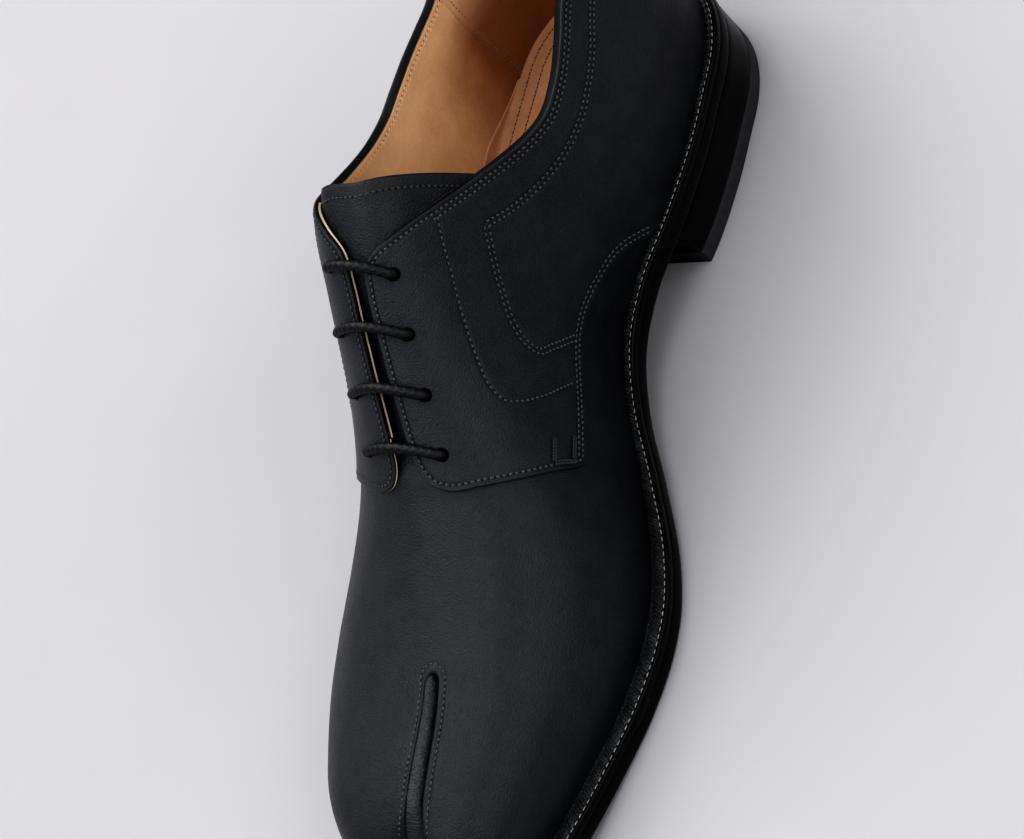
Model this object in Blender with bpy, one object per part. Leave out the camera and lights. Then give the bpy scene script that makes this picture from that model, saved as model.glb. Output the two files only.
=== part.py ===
"""Split toe derby, right shoe: sole, welt, heel, hollow upper with a cleft toe, tongue, insole, lace bars.

All shape sizes are in millimetres and turned into metres when a mesh is made.
Shoe axes used below: x positive to the medial (big toe) side, s from the heel back to the toe, z up.
Row axes: +X medial, toe towards -Y, heel towards +Y, +Z up, floor at z = 0.
"""
import math

import bmesh
import bpy
import numpy as np

for old in list(bpy.data.objects):
    bpy.data.objects.remove(old, do_unlink=True)

# ------------------------------------------------------------------ driving sizes (mm)
LENGTH = 296.0          # sole, heel back to the longer toe lobe
AXIS = 40.0             # centre of the heel curve, from the heel back
HEEL_LEN = 86.0         # heel back to heel breast
HEEL_N = 2.2            # roundness of the heel curve (2 = ellipse)
LIFT_T = 6.0            # top lift
SOLE_T = 5.0            # outsole
WELT_T = 3.0            # welt
WELT_W = 10.0           # welt, edge to inside
INSOLE_T = 2.5
WALL = 2.0              # upper with its lining
GAP = 0.3               # clearance between neighbouring pieces
TONGUE_GAP = 0.7        # clearance under the facings, measured down the last
TONGUE_T = 2.2
TONGUE_TOP, TONGUE_END = 105.0, 198.0
TONGUE_DIP = 14.0       # the middle of the top edge starts this much further forward
TONGUE_LAT = 104.0      # start of the top edge at the lateral side
TONGUE_Q = (0.52, 0.68)   # side edges at the top and at the end
TONGUE_N = 16
CLEFT_S = 233.0         # rear end of the cleft at the top of the vamp
CLEFT_HALF = 1.5        # half width of the cleft at its rear end
CLEFT_GROW = 0.020      # widening of each side per mm towards the toe
CLEFT_SOLE = 0.9        # the sole closes in on the cleft by this much
RIM_R = 2.2             # rounding of the cleft edge at its rear end
SLOT_S = 189.0          # front end of the lacing slot
SLOT_TOP = 139.0        # where the facings leave the topline
SLOT_HALF = (2.2, 3.2)  # half width of the slot at its top and its bottom
LACE_R = 1.6
LACE_LIFT = 2.8         # lace centre above the upper, measured up the last
LACE_S = (139.5, 153.0, 166.5, 180.0)
LACE_Q = 0.826          # medial eyelets, as a part of the way from the feather edge to the ridge
LACE_LAT_Q = (0.842, 0.774, 0.744, 0.754)   # lateral eyelets, bar by bar
LACE_BACK = 2.2         # the lateral eyelets sit this much further back

# sole edge, one column per station
SOLE = dict(
    s=(40, 62, 86, 103, 120, 138, 160, 182, 200, 214, 228, 245, 260, 275, 290, 300),
    med=(35.7, 35.8, 33.0, 27.6, 25.2, 28.8, 38.4, 47.6, 52.0, 52.4, 50.6, 46.8, 43.2, 39.6, 36.0, 33.6),
    lat=(35.7, 35.8, 34.8, 34.4, 36.3, 41.2, 48.4, 53.6, 55.4, 55.3, 53.4, 48.6, 43.0, 36.8, 30.6, 26.5),
    bottom=(20.0, 19.6, 18.8, 15.2, 10.6, 6.6, 2.9, 0.6, 0.0, 0.0, 0.0, 0.7, 2.0, 4.0, 6.6, 8.6),
    margin=(4.0, 3.6, 3.2, 3.0, 3.0, 3.2, 4.4, 5.6, 6.0, 6.0, 6.0, 6.0, 6.0, 6.0, 6.0, 6.0),
)
# last, one column per station c: below AXIS a station is a turn about the heel centre
#   ridge_x, ridge_z  top of the last          rise   how upright the wall stands
#   crown_*           width of the top         out_*  outward lean of the wall at the sole
LAST = dict(
    c=(0, 40, 63, 85, 103, 120, 140, 160, 180, 200, 220, 240, 260, 280, 300),
    ridge_x=(0, 0, -1.0, -3.0, -5.0, -6.4, -6.6, -4.2, -0.6, 3.4, 7.4, 9.7, 9.4, 7.8, 5.6),
    ridge_z=(132, 132, 132, 131, 126, 118, 104, 88.5, 73, 61, 52.5, 46.6, 43.0, 41.0, 39.0),
    rise=(.36, .36, .36, .38, .40, .42, .44, .46, .48, .50, .52, .54, .56, .58, .60),
    crown_m=(.70, .70, .70, .69, .65, .61, .58, .57, .56, .56, .58, .60, .62, .64, .66),
    crown_l=(.70, .70, .70, .73, .84, 1.07, .71, .41, .34, .39, .51, .63, .68, .71, .68),
    out_m=(5, 4, 4, 3, 2, 1.5, 2, 3, 4, 4, 4, 4, 4, 4, 4),
    out_l=(5, 4, 4, 4, 5.5, 8.4, 4.6, 1.4, -0.5, 1.5, 3.2, 5.3, 5.7, 6.2, 5),
)
# topline: how far up each section the collar lies (0 sole, 1 ridge), medial and lateral
TOPLINE = dict(
    c=(0, 20, 42, 51, 62, 73, 83, 92, 103, 113, 122, 130, 135, 139),
    med=(.470, .478, .480, .474, .452, .430, .424, .450, .510, .588, .683, .797, .890, .955),
    lat=(.470, .440, .408, .420, .435, .443, .452, .484, .553, .638, .757, .867, .935, .957),
)
# toe lobes, one row per lobe: side, tip position, where the outline starts to round
LOBES = dict(
    med=dict(side=1, tip_x=21.0, tip_s=296.0, round_s=262.0),
    lat=dict(side=-1, tip_x=-11.0, tip_s=292.0, round_s=256.0),
)
ROUND_N = 2.4           # roundness of the lobes in plan
CLEFT_LATE = 12.0       # the cleft side starts to round this much nearer the toe
TOP_N = 2.6             # roundness of the lobes in height
TOP_S = 254.0           # where the lobes start to fall to the tip
LOBE_OWN = 34.0         # length over which a lobe takes on its own round top
RIM_GROW = 0.05         # rounding of the cleft edge gained per mm towards the toe
RIM_TIP, RIM_TIP_S = 9.0, 268.0   # further rounding gained by the tip, and where it starts

# mesh density
NQ, NF, NW = 12, 3, 3   # columns: section, cleft rim, cleft wall
FAN = (0, 6, 12, 18, 24, 30, 35)
BODY = (40, 48, 56, 64, 72, 80, 88, 96, 104, 112, 119, 125, 130, 134, 137, 140,
        147, 154, 161, 168, 175, 181, 185.5, 188, 189)
FORE = (0.16, 0.32, 0.48, 0.64, 0.80, 0.92, 1.0)     # parts of the way from slot to cleft
U_TURN = (30, 60, 90)                                # degrees round the end of the cleft
LOBE_V = (0.16, 0.32, 0.47, 0.60, 0.71, 0.80, 0.88, 0.945)  # sine steps to the tip


# ------------------------------------------------------------------ shape functions
def curve(xs, ys):
    """Smooth curve through a table (cubic pieces, slopes from the neighbours)."""
    xs = np.asarray(xs, float)
    ys = np.asarray(ys, float)
    h = np.diff(xs)
    d = np.diff(ys) / h
    m = np.empty_like(ys)
    m[0], m[-1] = d[0], d[-1]
    m[1:-1] = (d[:-1] * h[1:] + d[1:] * h[:-1]) / (h[:-1] + h[1:])

    def at(x):
        i = int(np.clip(np.searchsorted(xs, x, side='right') - 1, 0, len(h) - 1))
        t = (x - xs[i]) / h[i]
        return float((2 * t**3 - 3 * t**2 + 1) * ys[i] + (t**3 - 2 * t**2 + t) * h[i] * m[i]
                     + (3 * t**2 - 2 * t**3) * ys[i + 1] + (t**3 - t**2) * h[i] * m[i + 1])
    return at


sole = {k: curve(SOLE['s'], v) for k, v in SOLE.items() if k != 's'}
last = {k: curve(LAST['c'], v) for k, v in LAST.items() if k != 'c'}
topline = {k: curve(TOPLINE['c'], v) for k, v in TOPLINE.items() if k != 'c'}


def name_of(side):
    return 'med' if side > 0 else 'lat'


def bottom(s):
    """Underside of the outsole; a straight seat at the heel, flat on the floor at the ball."""
    return SOLE['bottom'][0] + 0.012 * (AXIS - s) if s < AXIS else max(0.0, sole['bottom'](s))


def feather_z(s):
    return bottom(s) + SOLE_T + WELT_T + 2 * GAP


def margin(s):
    return sole['margin'](max(s, AXIS))


def tip_round(s, start, tip, n):
    if s <= start:
        return 1.0
    q = min(1.0, (s - start) / (tip - start))
    return max(0.0, 1.0 - q**n) ** (1.0 / n)


def heel_rho(phi, inset):
    """Heel curve about the heel centre, phi 0 at the back and 90 degrees at the side."""
    a, b = SOLE['med'][0] - inset, AXIS - inset
    return ((math.sin(phi) / a)**HEEL_N + (math.cos(phi) / b)**HEEL_N) ** (-1.0 / HEEL_N)


def edge_x(side, s, inset):
    """Outline of the sole, or an inset of it, ahead of the heel centre."""
    lobe = LOBES[name_of(side)]
    r = tip_round(s, lobe['round_s'], lobe['tip_s'] - inset, ROUND_N)
    return lobe['tip_x'] + (side * (sole[name_of(side)](s) - inset) - lobe['tip_x']) * r


def cleft_half(s):
    return CLEFT_HALF + CLEFT_GROW * max(0.0, s - CLEFT_S)


def cleft_x(side, s, inset, tip_inset):
    """Wall of the cleft on one lobe; a positive inset moves it into the lobe."""
    lobe = LOBES[name_of(side)]
    end = CLEFT_S + RIM_R - inset
    w = cleft_half(s) + inset
    u = min(1.0, max(0.0, (s - end) / w))
    x = last['ridge_x'](s) + side * w * math.sqrt(u * (2.0 - u))
    r = tip_round(s, lobe['round_s'] + CLEFT_LATE, lobe['tip_s'] - tip_inset, ROUND_N)
    return lobe['tip_x'] + (x - lobe['tip_x']) * r


def section(side, c, wall=0.0):
    """Half section of the last as four control points (distance from the ridge, height)."""
    if c < AXIS:
        phi = math.pi / 2 * c / AXIS
        rf = heel_rho(phi, margin(0) + wall)
        zf = feather_z(AXIS - rf * math.cos(phi))
    else:
        rf = abs(edge_x(side, c, margin(c) + wall) - last['ridge_x'](c))
        zf = feather_z(c)
    zr = last['ridge_z'](c) - wall
    out = last['out_m' if side > 0 else 'out_l'](c)
    return np.array([[rf, zf], [rf + out, zf + last['rise'](c) * (zr - zf)],
                     [last['crown_m' if side > 0 else 'crown_l'](c) * rf, zr], [0.0, zr]])


def bezier(p, q):
    return (1 - q)**3 * p[0] + 3 * (1 - q)**2 * q * p[1] + 3 * (1 - q) * q**2 * p[2] + q**3 * p[3]


def shell(side, c, q, wall=0.0):
    """Point of the last surface, or of an inset of it: side, station, way up the section."""
    rho, z = bezier(section(side, c, wall), q)
    if c < AXIS:
        phi = math.pi / 2 * c / AXIS
        return np.array([side * rho * math.sin(phi), AXIS - rho * math.cos(phi), z])
    return np.array([last['ridge_x'](c) + side * rho, c, z])


def q_at(side, c, rho, wall):
    """Way up the section where it is rho away from the ridge."""
    p, lo, hi = section(side, c, wall), 0.4, 1.0
    for _ in range(40):
        mid = 0.5 * (lo + hi)
        lo, hi = (mid, hi) if bezier(p, mid)[0] > rho else (lo, mid)
    return 0.5 * (lo + hi)


def edge_q(side, c, wall):
    """Upper edge of the quarter: topline, then the lacing slot, then the ridge."""
    if c >= SLOT_S:
        return 1.0
    if c <= SLOT_TOP:
        return topline[name_of(side)](c)
    t = (c - SLOT_TOP) / (SLOT_S - SLOT_TOP)
    half = SLOT_HALF[0] + (SLOT_HALF[1] - SLOT_HALF[0]) * t
    u = min(1.0, (SLOT_S - c) / half)
    q = q_at(side, c, half * math.sqrt(u * (2 - u)), wall)
    k = min(1.0, (c - SLOT_TOP) / 8.0)
    return (1 - k) * topline[name_of(side)](SLOT_TOP) + k * q


# ------------------------------------------------------------------ mesh making
X_MID = 0.5 * (max(edge_x(1, s, 0.0) for s in np.arange(190, 240, 0.5))
               + min(edge_x(-1, s, 0.0) for s in np.arange(190, 240, 0.5)))


def row_frame(p):
    return ((p[0] - X_MID) / 1000.0, (LENGTH / 2 - p[1]) / 1000.0, p[2] / 1000.0)


class Solid:
    """Vertices and faces of one node."""

    def __init__(self):
        self.verts, self.faces = [], []

    def add(self, p):
        self.verts.append(row_frame(p))
        return len(self.verts) - 1

    def face(self, *ids):
        ring = [v for k, v in enumerate(ids) if v != ids[k - 1]]
        if len(set(ring)) >= 3:
            self.faces.append(ring)

    def strip(self, a, b):
        """Quads between two rows of equal length."""
        for k in range(len(a) - 1):
            self.face(a[k], a[k + 1], b[k + 1], b[k])

    def make(self, name, colour, rough, sharp=35.0):
        mesh = bpy.data.meshes.new(name)
        mesh.from_pydata(self.verts, [], self.faces)
        bm = bmesh.new()
        bm.from_mesh(mesh)
        bmesh.ops.remove_doubles(bm, verts=bm.verts, dist=1e-6)
        bmesh.ops.triangulate(bm, faces=[f for f in bm.faces if len(f.verts) > 4])
        bmesh.ops.recalc_face_normals(bm, faces=bm.faces)
        for f in bm.faces:
            f.smooth = True
        for e in bm.edges:
            if len(e.link_faces) == 2 and e.calc_face_angle(0.0) > math.radians(sharp):
                e.smooth = False
        bm.to_mesh(mesh)
        bm.free()
        obj = bpy.data.objects.new(name, mesh)
        bpy.context.scene.collection.objects.link(obj)
        mat = bpy.data.materials.new(name + "_mat")
        mat.use_nodes = True
        shader = mat.node_tree.nodes["Principled BSDF"]
        shader.inputs["Base Color"].default_value = (*colour, 1.0)
        shader.inputs["Roughness"].default_value = rough
        mesh.materials.append(mat)
        return obj


# ------------------------------------------------------------------ flat layers: outsole, welt, insole
def outline(inset, cleft_inset):
    """Outline with the cleft as rows of (x, s): heel point, side pairs, notch, two lobes.

    inset is a function of s; cleft_inset is how far the cleft edge lies inside the lobe.
    """
    at_heel = inset(0.0)
    heel = (0.0, AXIS - heel_rho(0.0, at_heel))
    pairs = []
    for c in FAN[1:]:
        phi = math.pi / 2 * c / AXIS
        rho = heel_rho(phi, at_heel)
        pairs.append([(side * rho * math.sin(phi), AXIS - rho * math.cos(phi)) for side in (1, -1)])
    notch_s = CLEFT_S + RIM_R - cleft_inset
    fore = [SLOT_S + (notch_s - SLOT_S) * f for f in FORE]
    for s in list(BODY) + fore:
        pairs.append([(edge_x(side, s, inset(s)), s) for side in (1, -1)])
    notch = (last['ridge_x'](notch_s), notch_s)
    lobes = []
    for side in (1, -1):
        lobe = LOBES[name_of(side)]
        w = cleft_half(notch_s) + cleft_inset
        tip = lobe['tip_s'] - inset(lobe['tip_s'])
        start = notch_s + w
        steps = [notch_s + w * (1 - math.cos(math.radians(t))) for t in U_TURN]
        steps += [start + (tip - start) * math.sin(v * math.pi / 2) for v in LOBE_V]
        rows = [((edge_x(side, s, inset(s)), s),
                 (cleft_x(side, s, cleft_inset, inset(s)), s)) for s in steps]
        lobes.append((rows, (lobe['tip_x'], tip)))
    return heel, pairs, notch, lobes


def loop_of(shape):
    """The outline as one closed run of points."""
    heel, pairs, notch, lobes = shape
    run = [heel] + [p[0] for p in pairs]
    (rows_m, tip_m), (rows_l, tip_l) = lobes
    run += [r[0] for r in rows_m] + [tip_m] + [r[1] for r in reversed(rows_m)] + [notch]
    run += [r[1] for r in rows_l] + [tip_l] + [r[0] for r in reversed(rows_l)]
    return run + [p[1] for p in reversed(pairs)]


def slab(name, shape, low, high, colour, rough):
    """Layer between two heights that only depend on s."""
    solid = Solid()
    heel, pairs, notch, lobes = shape
    for level in (low, high):
        put = lambda p: solid.add((p[0], p[1], level(p[1])))
        ids = [[put(a), put(b)] for a, b in pairs]
        tip0 = put(heel)
        solid.face(tip0, ids[0][0], ids[0][1])
        for a, b in zip(ids[:-2], ids[1:-1]):
            solid.face(a[0], a[1], b[1], b[0])
        mid = put(notch)
        solid.face(ids[-2][0], ids[-2][1], ids[-1][1], mid, ids[-1][0])
        for k, (rows, tip) in enumerate(lobes):
            before = [ids[-1][k], mid]
            for outer, inner in rows:
                now = [put(outer), put(inner)]
                solid.face(before[0], before[1], now[1], now[0])
                before = now
            solid.face(before[0], before[1], put(tip))
    run = loop_of(shape)
    for a, b in zip(run, run[1:] + run[:1]):
        solid.face(solid.add((*a, low(a[1]))), solid.add((*b, low(b[1]))),
                   solid.add((*b, high(b[1]))), solid.add((*a, high(a[1]))))
    return solid.make(name, colour, rough)


def ring(name, outer, inner, low, high, colour, rough):
    """Band between two outlines of the same make."""
    solid = Solid()
    loops = []
    for run, level in ((outer, low), (outer, high), (inner, high), (inner, low)):
        ids = [solid.add((*p, level(p[1]))) for p in run]
        loops.append(ids + ids[:1])
    for a, b in zip(loops, loops[1:] + loops[:1]):
        solid.strip(a, b)
    return solid.make(name, colour, rough)


slab("outsole", outline(lambda s: 0.0, -CLEFT_SOLE), bottom, lambda s: bottom(s) + SOLE_T,
     (0.020, 0.019, 0.019), 0.45)
ring("welt", loop_of(outline(lambda s: 0.0, -CLEFT_SOLE)), loop_of(outline(lambda s: WELT_W, WELT_W / 2)),
     lambda s: bottom(s) + SOLE_T + GAP, lambda s: bottom(s) + SOLE_T + GAP + WELT_T,
     (0.015, 0.014, 0.014), 0.5)
slab("insole", outline(lambda s: margin(s) + WALL + 0.6, WALL + 0.6), feather_z,
     lambda s: feather_z(s) + INSOLE_T, (0.50, 0.27, 0.12), 0.7)


# ------------------------------------------------------------------ heel
def heel_layer(name, low, high, low_inset, high_inset, colour, rough, across=6, breast=2.5):
    """Heel layer with a hollowed breast, drawn in a little towards the floor."""
    solid = Solid()
    stations = list(FAN[1:]) + [40, 48, 56, 64, 71, 77, 82, HEEL_LEN]
    grids = []
    for level, inset in ((low, low_inset), (high, high_inset)):
        rows = []
        for c in stations:
            if c < AXIS:
                phi = math.pi / 2 * c / AXIS
                x = heel_rho(phi, inset) * math.sin(phi)
                xs, s0 = (x, -x), AXIS - heel_rho(phi, inset) * math.cos(phi)
            else:
                xs, s0 = (edge_x(1, c, inset), edge_x(-1, c, inset)), float(c)
            row = []
            for k in range(across + 1):
                u = k / across
                hollow = breast * 4 * u * (1 - u) * max(0.0, (s0 - AXIS) / (HEEL_LEN - AXIS))**2
                s = s0 - hollow
                row.append(solid.add((xs[0] + (xs[1] - xs[0]) * u, s, level(s))))
            rows.append(row)
        back = solid.add((0.0, AXIS - heel_rho(0.0, inset), level(AXIS - heel_rho(0.0, inset))))
        for k in range(across):
            solid.face(back, rows[0][k], rows[0][k + 1])
        for a, b in zip(rows[:-1], rows[1:]):
            solid.strip(a, b)
        grids.append((rows, back))
    (lo, lo_back), (hi, hi_back) = grids
    rim = lambda rows, back: [back] + [r[0] for r in rows] + rows[-1][1:-1] + [r[-1] for r in reversed(rows)] + [back]
    solid.strip(rim(lo, lo_back), rim(hi, hi_back))
    return solid.make(name, colour, rough)


heel_layer("top_lift", lambda s: 0.0, lambda s: LIFT_T, 1.6, 1.3, (0.030, 0.030, 0.031), 0.6)
heel_layer("heel_stack", lambda s: LIFT_T + GAP, lambda s: bottom(s) - GAP, 1.2, 0.5,
           (0.010, 0.010, 0.011), 0.3)


# ------------------------------------------------------------------ upper
def lobe_steps(side, wall):
    """Stations of one lobe: (station of the section, rim point, wall point) in plan, then the tip."""
    lobe = LOBES[name_of(side)]
    cx, tip = last['ridge_x'], lobe['tip_s'] - margin(lobe['tip_s']) - wall
    back, half = CLEFT_S - wall, CLEFT_HALF + wall
    rim = max(RIM_R - wall, 0.3)
    end = CLEFT_S + RIM_R - wall
    out = []
    for t in U_TURN:
        a = math.radians(t)
        reach = half + rim
        s_rim = end - rim + reach * (1 - math.cos(a))
        s_wall = end + half * (1 - math.cos(a))
        out.append((s_rim, (cx(s_rim) + side * reach * math.sin(a), s_rim),
                    (cx(s_wall) + side * half * math.sin(a), s_wall), rim, rim))
    start = out[-1][0]
    for v in LOBE_V:
        s = start + (tip - start) * math.sin(v * math.pi / 2)
        xw, xo = cleft_x(side, s, wall, margin(s) + wall), edge_x(side, s, margin(s) + wall)
        late = max(0.0, (s - RIM_TIP_S) / (tip - RIM_TIP_S))
        grow = rim + RIM_GROW * (s - start) + RIM_TIP * late**2
        rh = min(grow, 0.45 * abs(xo - xw))
        rv = min(grow * 1.2, 0.6 * (lobe_top(side, s, wall) - feather_z(s)))
        out.append((s, (xw + side * rh, s), (xw, s), rh, rv))
    return out, (lobe['tip_x'], tip)


def lobe_top(side, s, wall):
    lobe = LOBES[name_of(side)]
    tip = lobe['tip_s'] - margin(s) - wall
    zf = feather_z(s)
    return zf + (last['ridge_z'](s) - wall - zf) * tip_round(s, TOP_S, tip, TOP_N)


def lobe_row(side, step, wall):
    """One section of a lobe: outer wall and top, rim, cleft wall."""
    s, rim, inner, rh, rv = step
    lobe = LOBES[name_of(side)]
    zf, zt = feather_z(s), lobe_top(side, s, wall)
    xo = edge_x(side, s, margin(s) + wall)
    lean = last['out_m' if side > 0 else 'out_l'](s) * tip_round(s, lobe['round_s'], lobe['tip_s'] - margin(s) - wall, 2)
    # the section first runs to the middle of the cleft, further on to the rim of its own lobe
    own = min(1.0, max(0.0, (s - CLEFT_S) / LOBE_OWN))
    top_x = last['ridge_x'](s) + (rim[0] - last['ridge_x'](s)) * own * own * (3 - 2 * own)
    p = np.array([[xo, zf], [xo + side * lean, zf + last['rise'](s) * (zt - zf)],
                  [top_x + last['crown_m' if side > 0 else 'crown_l'](s) * (xo - top_x), zt], [top_x, zt]])
    lo, hi = 0.5, 1.0
    for _ in range(40):
        mid = 0.5 * (lo + hi)
        lo, hi = (mid, hi) if side * (bezier(p, mid)[0] - rim[0]) > 0 else (lo, mid)
    row = [(*_xz(bezier(p, lo * k / NQ), s),) for k in range(NQ + 1)]
    zt = row[-1][2]
    for k in range(1, NF + 1):
        a = math.pi / 2 * k / NF
        f, d = math.sin(a), 1 - math.cos(a)
        row.append((rim[0] + (inner[0] - rim[0]) * f, rim[1] + (inner[1] - rim[1]) * f, zt - rv * d))
    foot = feather_z(inner[1])
    for k in range(1, NW + 1):
        row.append((inner[0], inner[1], zt - rv + (foot - zt + rv) * k / NW))
    return row


def _xz(v, s):
    return v[0], s, v[1]


def upper_skin(solid, wall):
    """Vertices and faces of one face of the upper; returns its foot loop and its top edge loop."""
    rows = {1: [], -1: []}
    fore = [SLOT_S + (CLEFT_S - wall - SLOT_S) * f for f in FORE]
    for c in list(FAN) + list(BODY) + fore:
        ridge = None
        for side in (1, -1):
            if c == 0 and side < 0:
                rows[-1].append(rows[1][-1])
                continue
            qe = edge_q(side, c, wall)
            ids = [solid.add(shell(side, c, qe * k / NQ, wall)) for k in range(NQ + 1)]
            if qe >= 1.0:
                ridge = ids[-1] if side > 0 else ridge
                ids[-1] = ridge
            rows[side].append(ids)
    # line down the rear end of the cleft, shared by both lobes
    rim = max(RIM_R - wall, 0.3)
    s0, end = CLEFT_S - wall, CLEFT_S + RIM_R - wall
    z0, x0 = last['ridge_z'](s0) - wall, last['ridge_x'](s0)
    line = []
    for k in range(1, NF + 1):
        a = math.pi / 2 * k / NF
        line.append(solid.add((x0, end - rim + rim * math.sin(a), z0 - rim * (1 - math.cos(a)))))
    foot = feather_z(end)
    for k in range(1, NW + 1):
        line.append(solid.add((x0, end, z0 - rim + (foot - z0 + rim) * k / NW)))
    feet = {}
    for side in (1, -1):
        body = rows[side]
        for a, b in zip(body[:-1], body[1:]):
            solid.strip(a, b)
        before = body[-1] + line
        outer_foot, cleft_foot = [r[0] for r in body], []
        steps, tip = lobe_steps(side, wall)
        for step in steps:
            now = [solid.add(p) for p in lobe_row(side, step, wall)]
            solid.strip(before, now)
            outer_foot.append(now[0])
            cleft_foot.append(now[-1])
            before = now
        end_id = solid.add((tip[0], tip[1], feather_z(tip[1])))
        for k in range(len(before) - 1):
            solid.face(before[k], before[k + 1], end_id)
        feet[side] = outer_foot + [end_id] + cleft_foot[::-1]
    foot_loop = feet[1] + [line[-1]] + feet[-1][::-1]
    n_open = len(FAN) + len(BODY)
    top_m = [r[-1] for r in rows[1][:n_open]]
    top_l = [r[-1] for r in rows[-1][:n_open]]
    return foot_loop, top_m + top_l[-2::-1]


upper = Solid()
foot_out, top_out = upper_skin(upper, 0.0)
foot_in, top_in = upper_skin(upper, WALL)
upper.strip(foot_out, foot_in)
upper.strip(top_out, top_in)
upper.make("upper", (0.012, 0.012, 0.013), 0.45)


# ------------------------------------------------------------------ tongue
def tongue_rows(solid, wall, across=9):
    """Rows of the tongue; its top edge is cut straight across, so the middle starts further forward."""
    rows = []
    for k in range(TONGUE_N + 1):
        t = k / TONGUE_N
        row = []
        for side in (1, -1):
            cols = range(across + 1) if side > 0 else range(across - 1, -1, -1)
            for j in cols:
                u = j / across
                top = TONGUE_TOP + TONGUE_DIP * u * (1.25 - 0.25 * u * u)
                if side < 0:
                    top = TONGUE_LAT + (TONGUE_TOP + TONGUE_DIP - TONGUE_LAT) * u * (2 - u)
                c = top + (TONGUE_END - top) * t
                q0 = TONGUE_Q[0] + (TONGUE_Q[1] - TONGUE_Q[0]) * t
                row.append(solid.add(shell(side, c, q0 + (1 - q0) * u, wall)))
        rows.append(row)
    for a, b in zip(rows[:-1], rows[1:]):
        solid.strip(a, b)
    return rows[0] + [r[-1] for r in rows[1:-1]] + rows[-1][::-1] + [r[0] for r in rows[-2:0:-1]] + [rows[0][0]]


tongue = Solid()
rim_top = tongue_rows(tongue, WALL + TONGUE_GAP)
rim_under = tongue_rows(tongue, WALL + TONGUE_GAP + TONGUE_T)
tongue.strip(rim_top, rim_under)
tongue.make("tongue", (0.014, 0.014, 0.015), 0.45)


# ------------------------------------------------------------------ lace bars
def lace_bar(name, c, lat_q, sides=8, half_steps=5):
    """Round bar over the slot from eyelet to eyelet."""
    path = []
    for side, k in [(1, k) for k in range(half_steps + 1)] + [(-1, k) for k in range(half_steps - 1, -1, -1)]:
        t = k / half_steps
        q = LACE_Q if side > 0 else lat_q
        back = LACE_BACK * (0.5 * t if side > 0 else 1 - 0.5 * t)
        path.append(shell(side, c - back, q + (1 - q) * t, -LACE_LIFT))
    solid = Solid()
    loops = []
    for k, p in enumerate(path):
        along = path[min(k + 1, len(path) - 1)] - path[max(k - 1, 0)]
        along = along / np.linalg.norm(along)
        u = np.array([0.0, 1.0, 0.0])
        v = np.cross(along, u)
        loops.append([solid.add(p + LACE_R * (math.cos(a) * u + math.sin(a) * v))
                      for a in (2 * math.pi * j / sides for j in range(sides))])
    for a, b in zip(loops[:-1], loops[1:]):
        solid.strip(a + a[:1], b + b[:1])
    solid.face(*loops[0])
    solid.face(*loops[-1])
    return solid.make(name, (0.016, 0.016, 0.017), 0.5, sharp=60.0)


for number, (station, lat_q) in enumerate(zip(LACE_S, LACE_LAT_Q), 1):
    lace_bar(f"lace_bar_{number}", station, lat_q)
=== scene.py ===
"""Looks of the split toe derby: vamp and lobes, quarters, collar, lining, sock, tongue, lace, welt, sole, heel.

Shapes are worked out in millimetres on the same last as the solids:
x positive to the medial side, s from the heel back to the toe, z up; to_row() turns them into the row frame.
"""

import math

import bmesh
import bpy
import numpy as np
from mathutils import Matrix, Vector, kdtree


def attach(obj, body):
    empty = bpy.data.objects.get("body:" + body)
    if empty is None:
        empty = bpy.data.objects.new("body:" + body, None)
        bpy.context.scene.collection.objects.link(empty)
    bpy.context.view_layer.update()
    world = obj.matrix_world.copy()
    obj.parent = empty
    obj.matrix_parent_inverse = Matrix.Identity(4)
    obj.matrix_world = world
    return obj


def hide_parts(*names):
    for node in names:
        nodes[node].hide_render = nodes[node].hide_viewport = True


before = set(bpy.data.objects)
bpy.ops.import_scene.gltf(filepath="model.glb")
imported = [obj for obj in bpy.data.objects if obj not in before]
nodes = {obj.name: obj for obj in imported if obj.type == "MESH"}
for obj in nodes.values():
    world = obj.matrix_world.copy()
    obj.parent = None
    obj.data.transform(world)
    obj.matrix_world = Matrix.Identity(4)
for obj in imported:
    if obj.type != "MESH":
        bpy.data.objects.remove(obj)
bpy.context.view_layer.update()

# ------------------------------------------------------------------ sizes of the solids (mm)
LENGTH, AXIS, HEEL_LEN, HEEL_N = 296.0, 40.0, 86.0, 2.2
LIFT_T, SOLE_T, WELT_T, WELT_W, INSOLE_T = 6.0, 5.0, 3.0, 10.0, 2.5
WALL, GAP = 2.0, 0.3
TONGUE_GAP, TONGUE_T, TONGUE_TOP, TONGUE_END, TONGUE_DIP = 0.7, 2.2, 105.0, 198.0, 14.0
TONGUE_Q, TONGUE_LAT = (0.52, 0.68), 104.0
CLEFT_S, CLEFT_HALF, CLEFT_GROW, CLEFT_SOLE, RIM_R = 233.0, 1.5, 0.020, 0.9, 2.2
SLOT_S, SLOT_TOP, SLOT_HALF = 189.0, 139.0, (2.2, 3.2)
LACE_R, LACE_LIFT = 1.6, 2.8
LACE_S, LACE_Q, LACE_BACK = (139.5, 153.0, 166.5, 180.0), 0.826, 2.2
LACE_LAT_Q = (0.842, 0.774, 0.744, 0.754)
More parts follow.
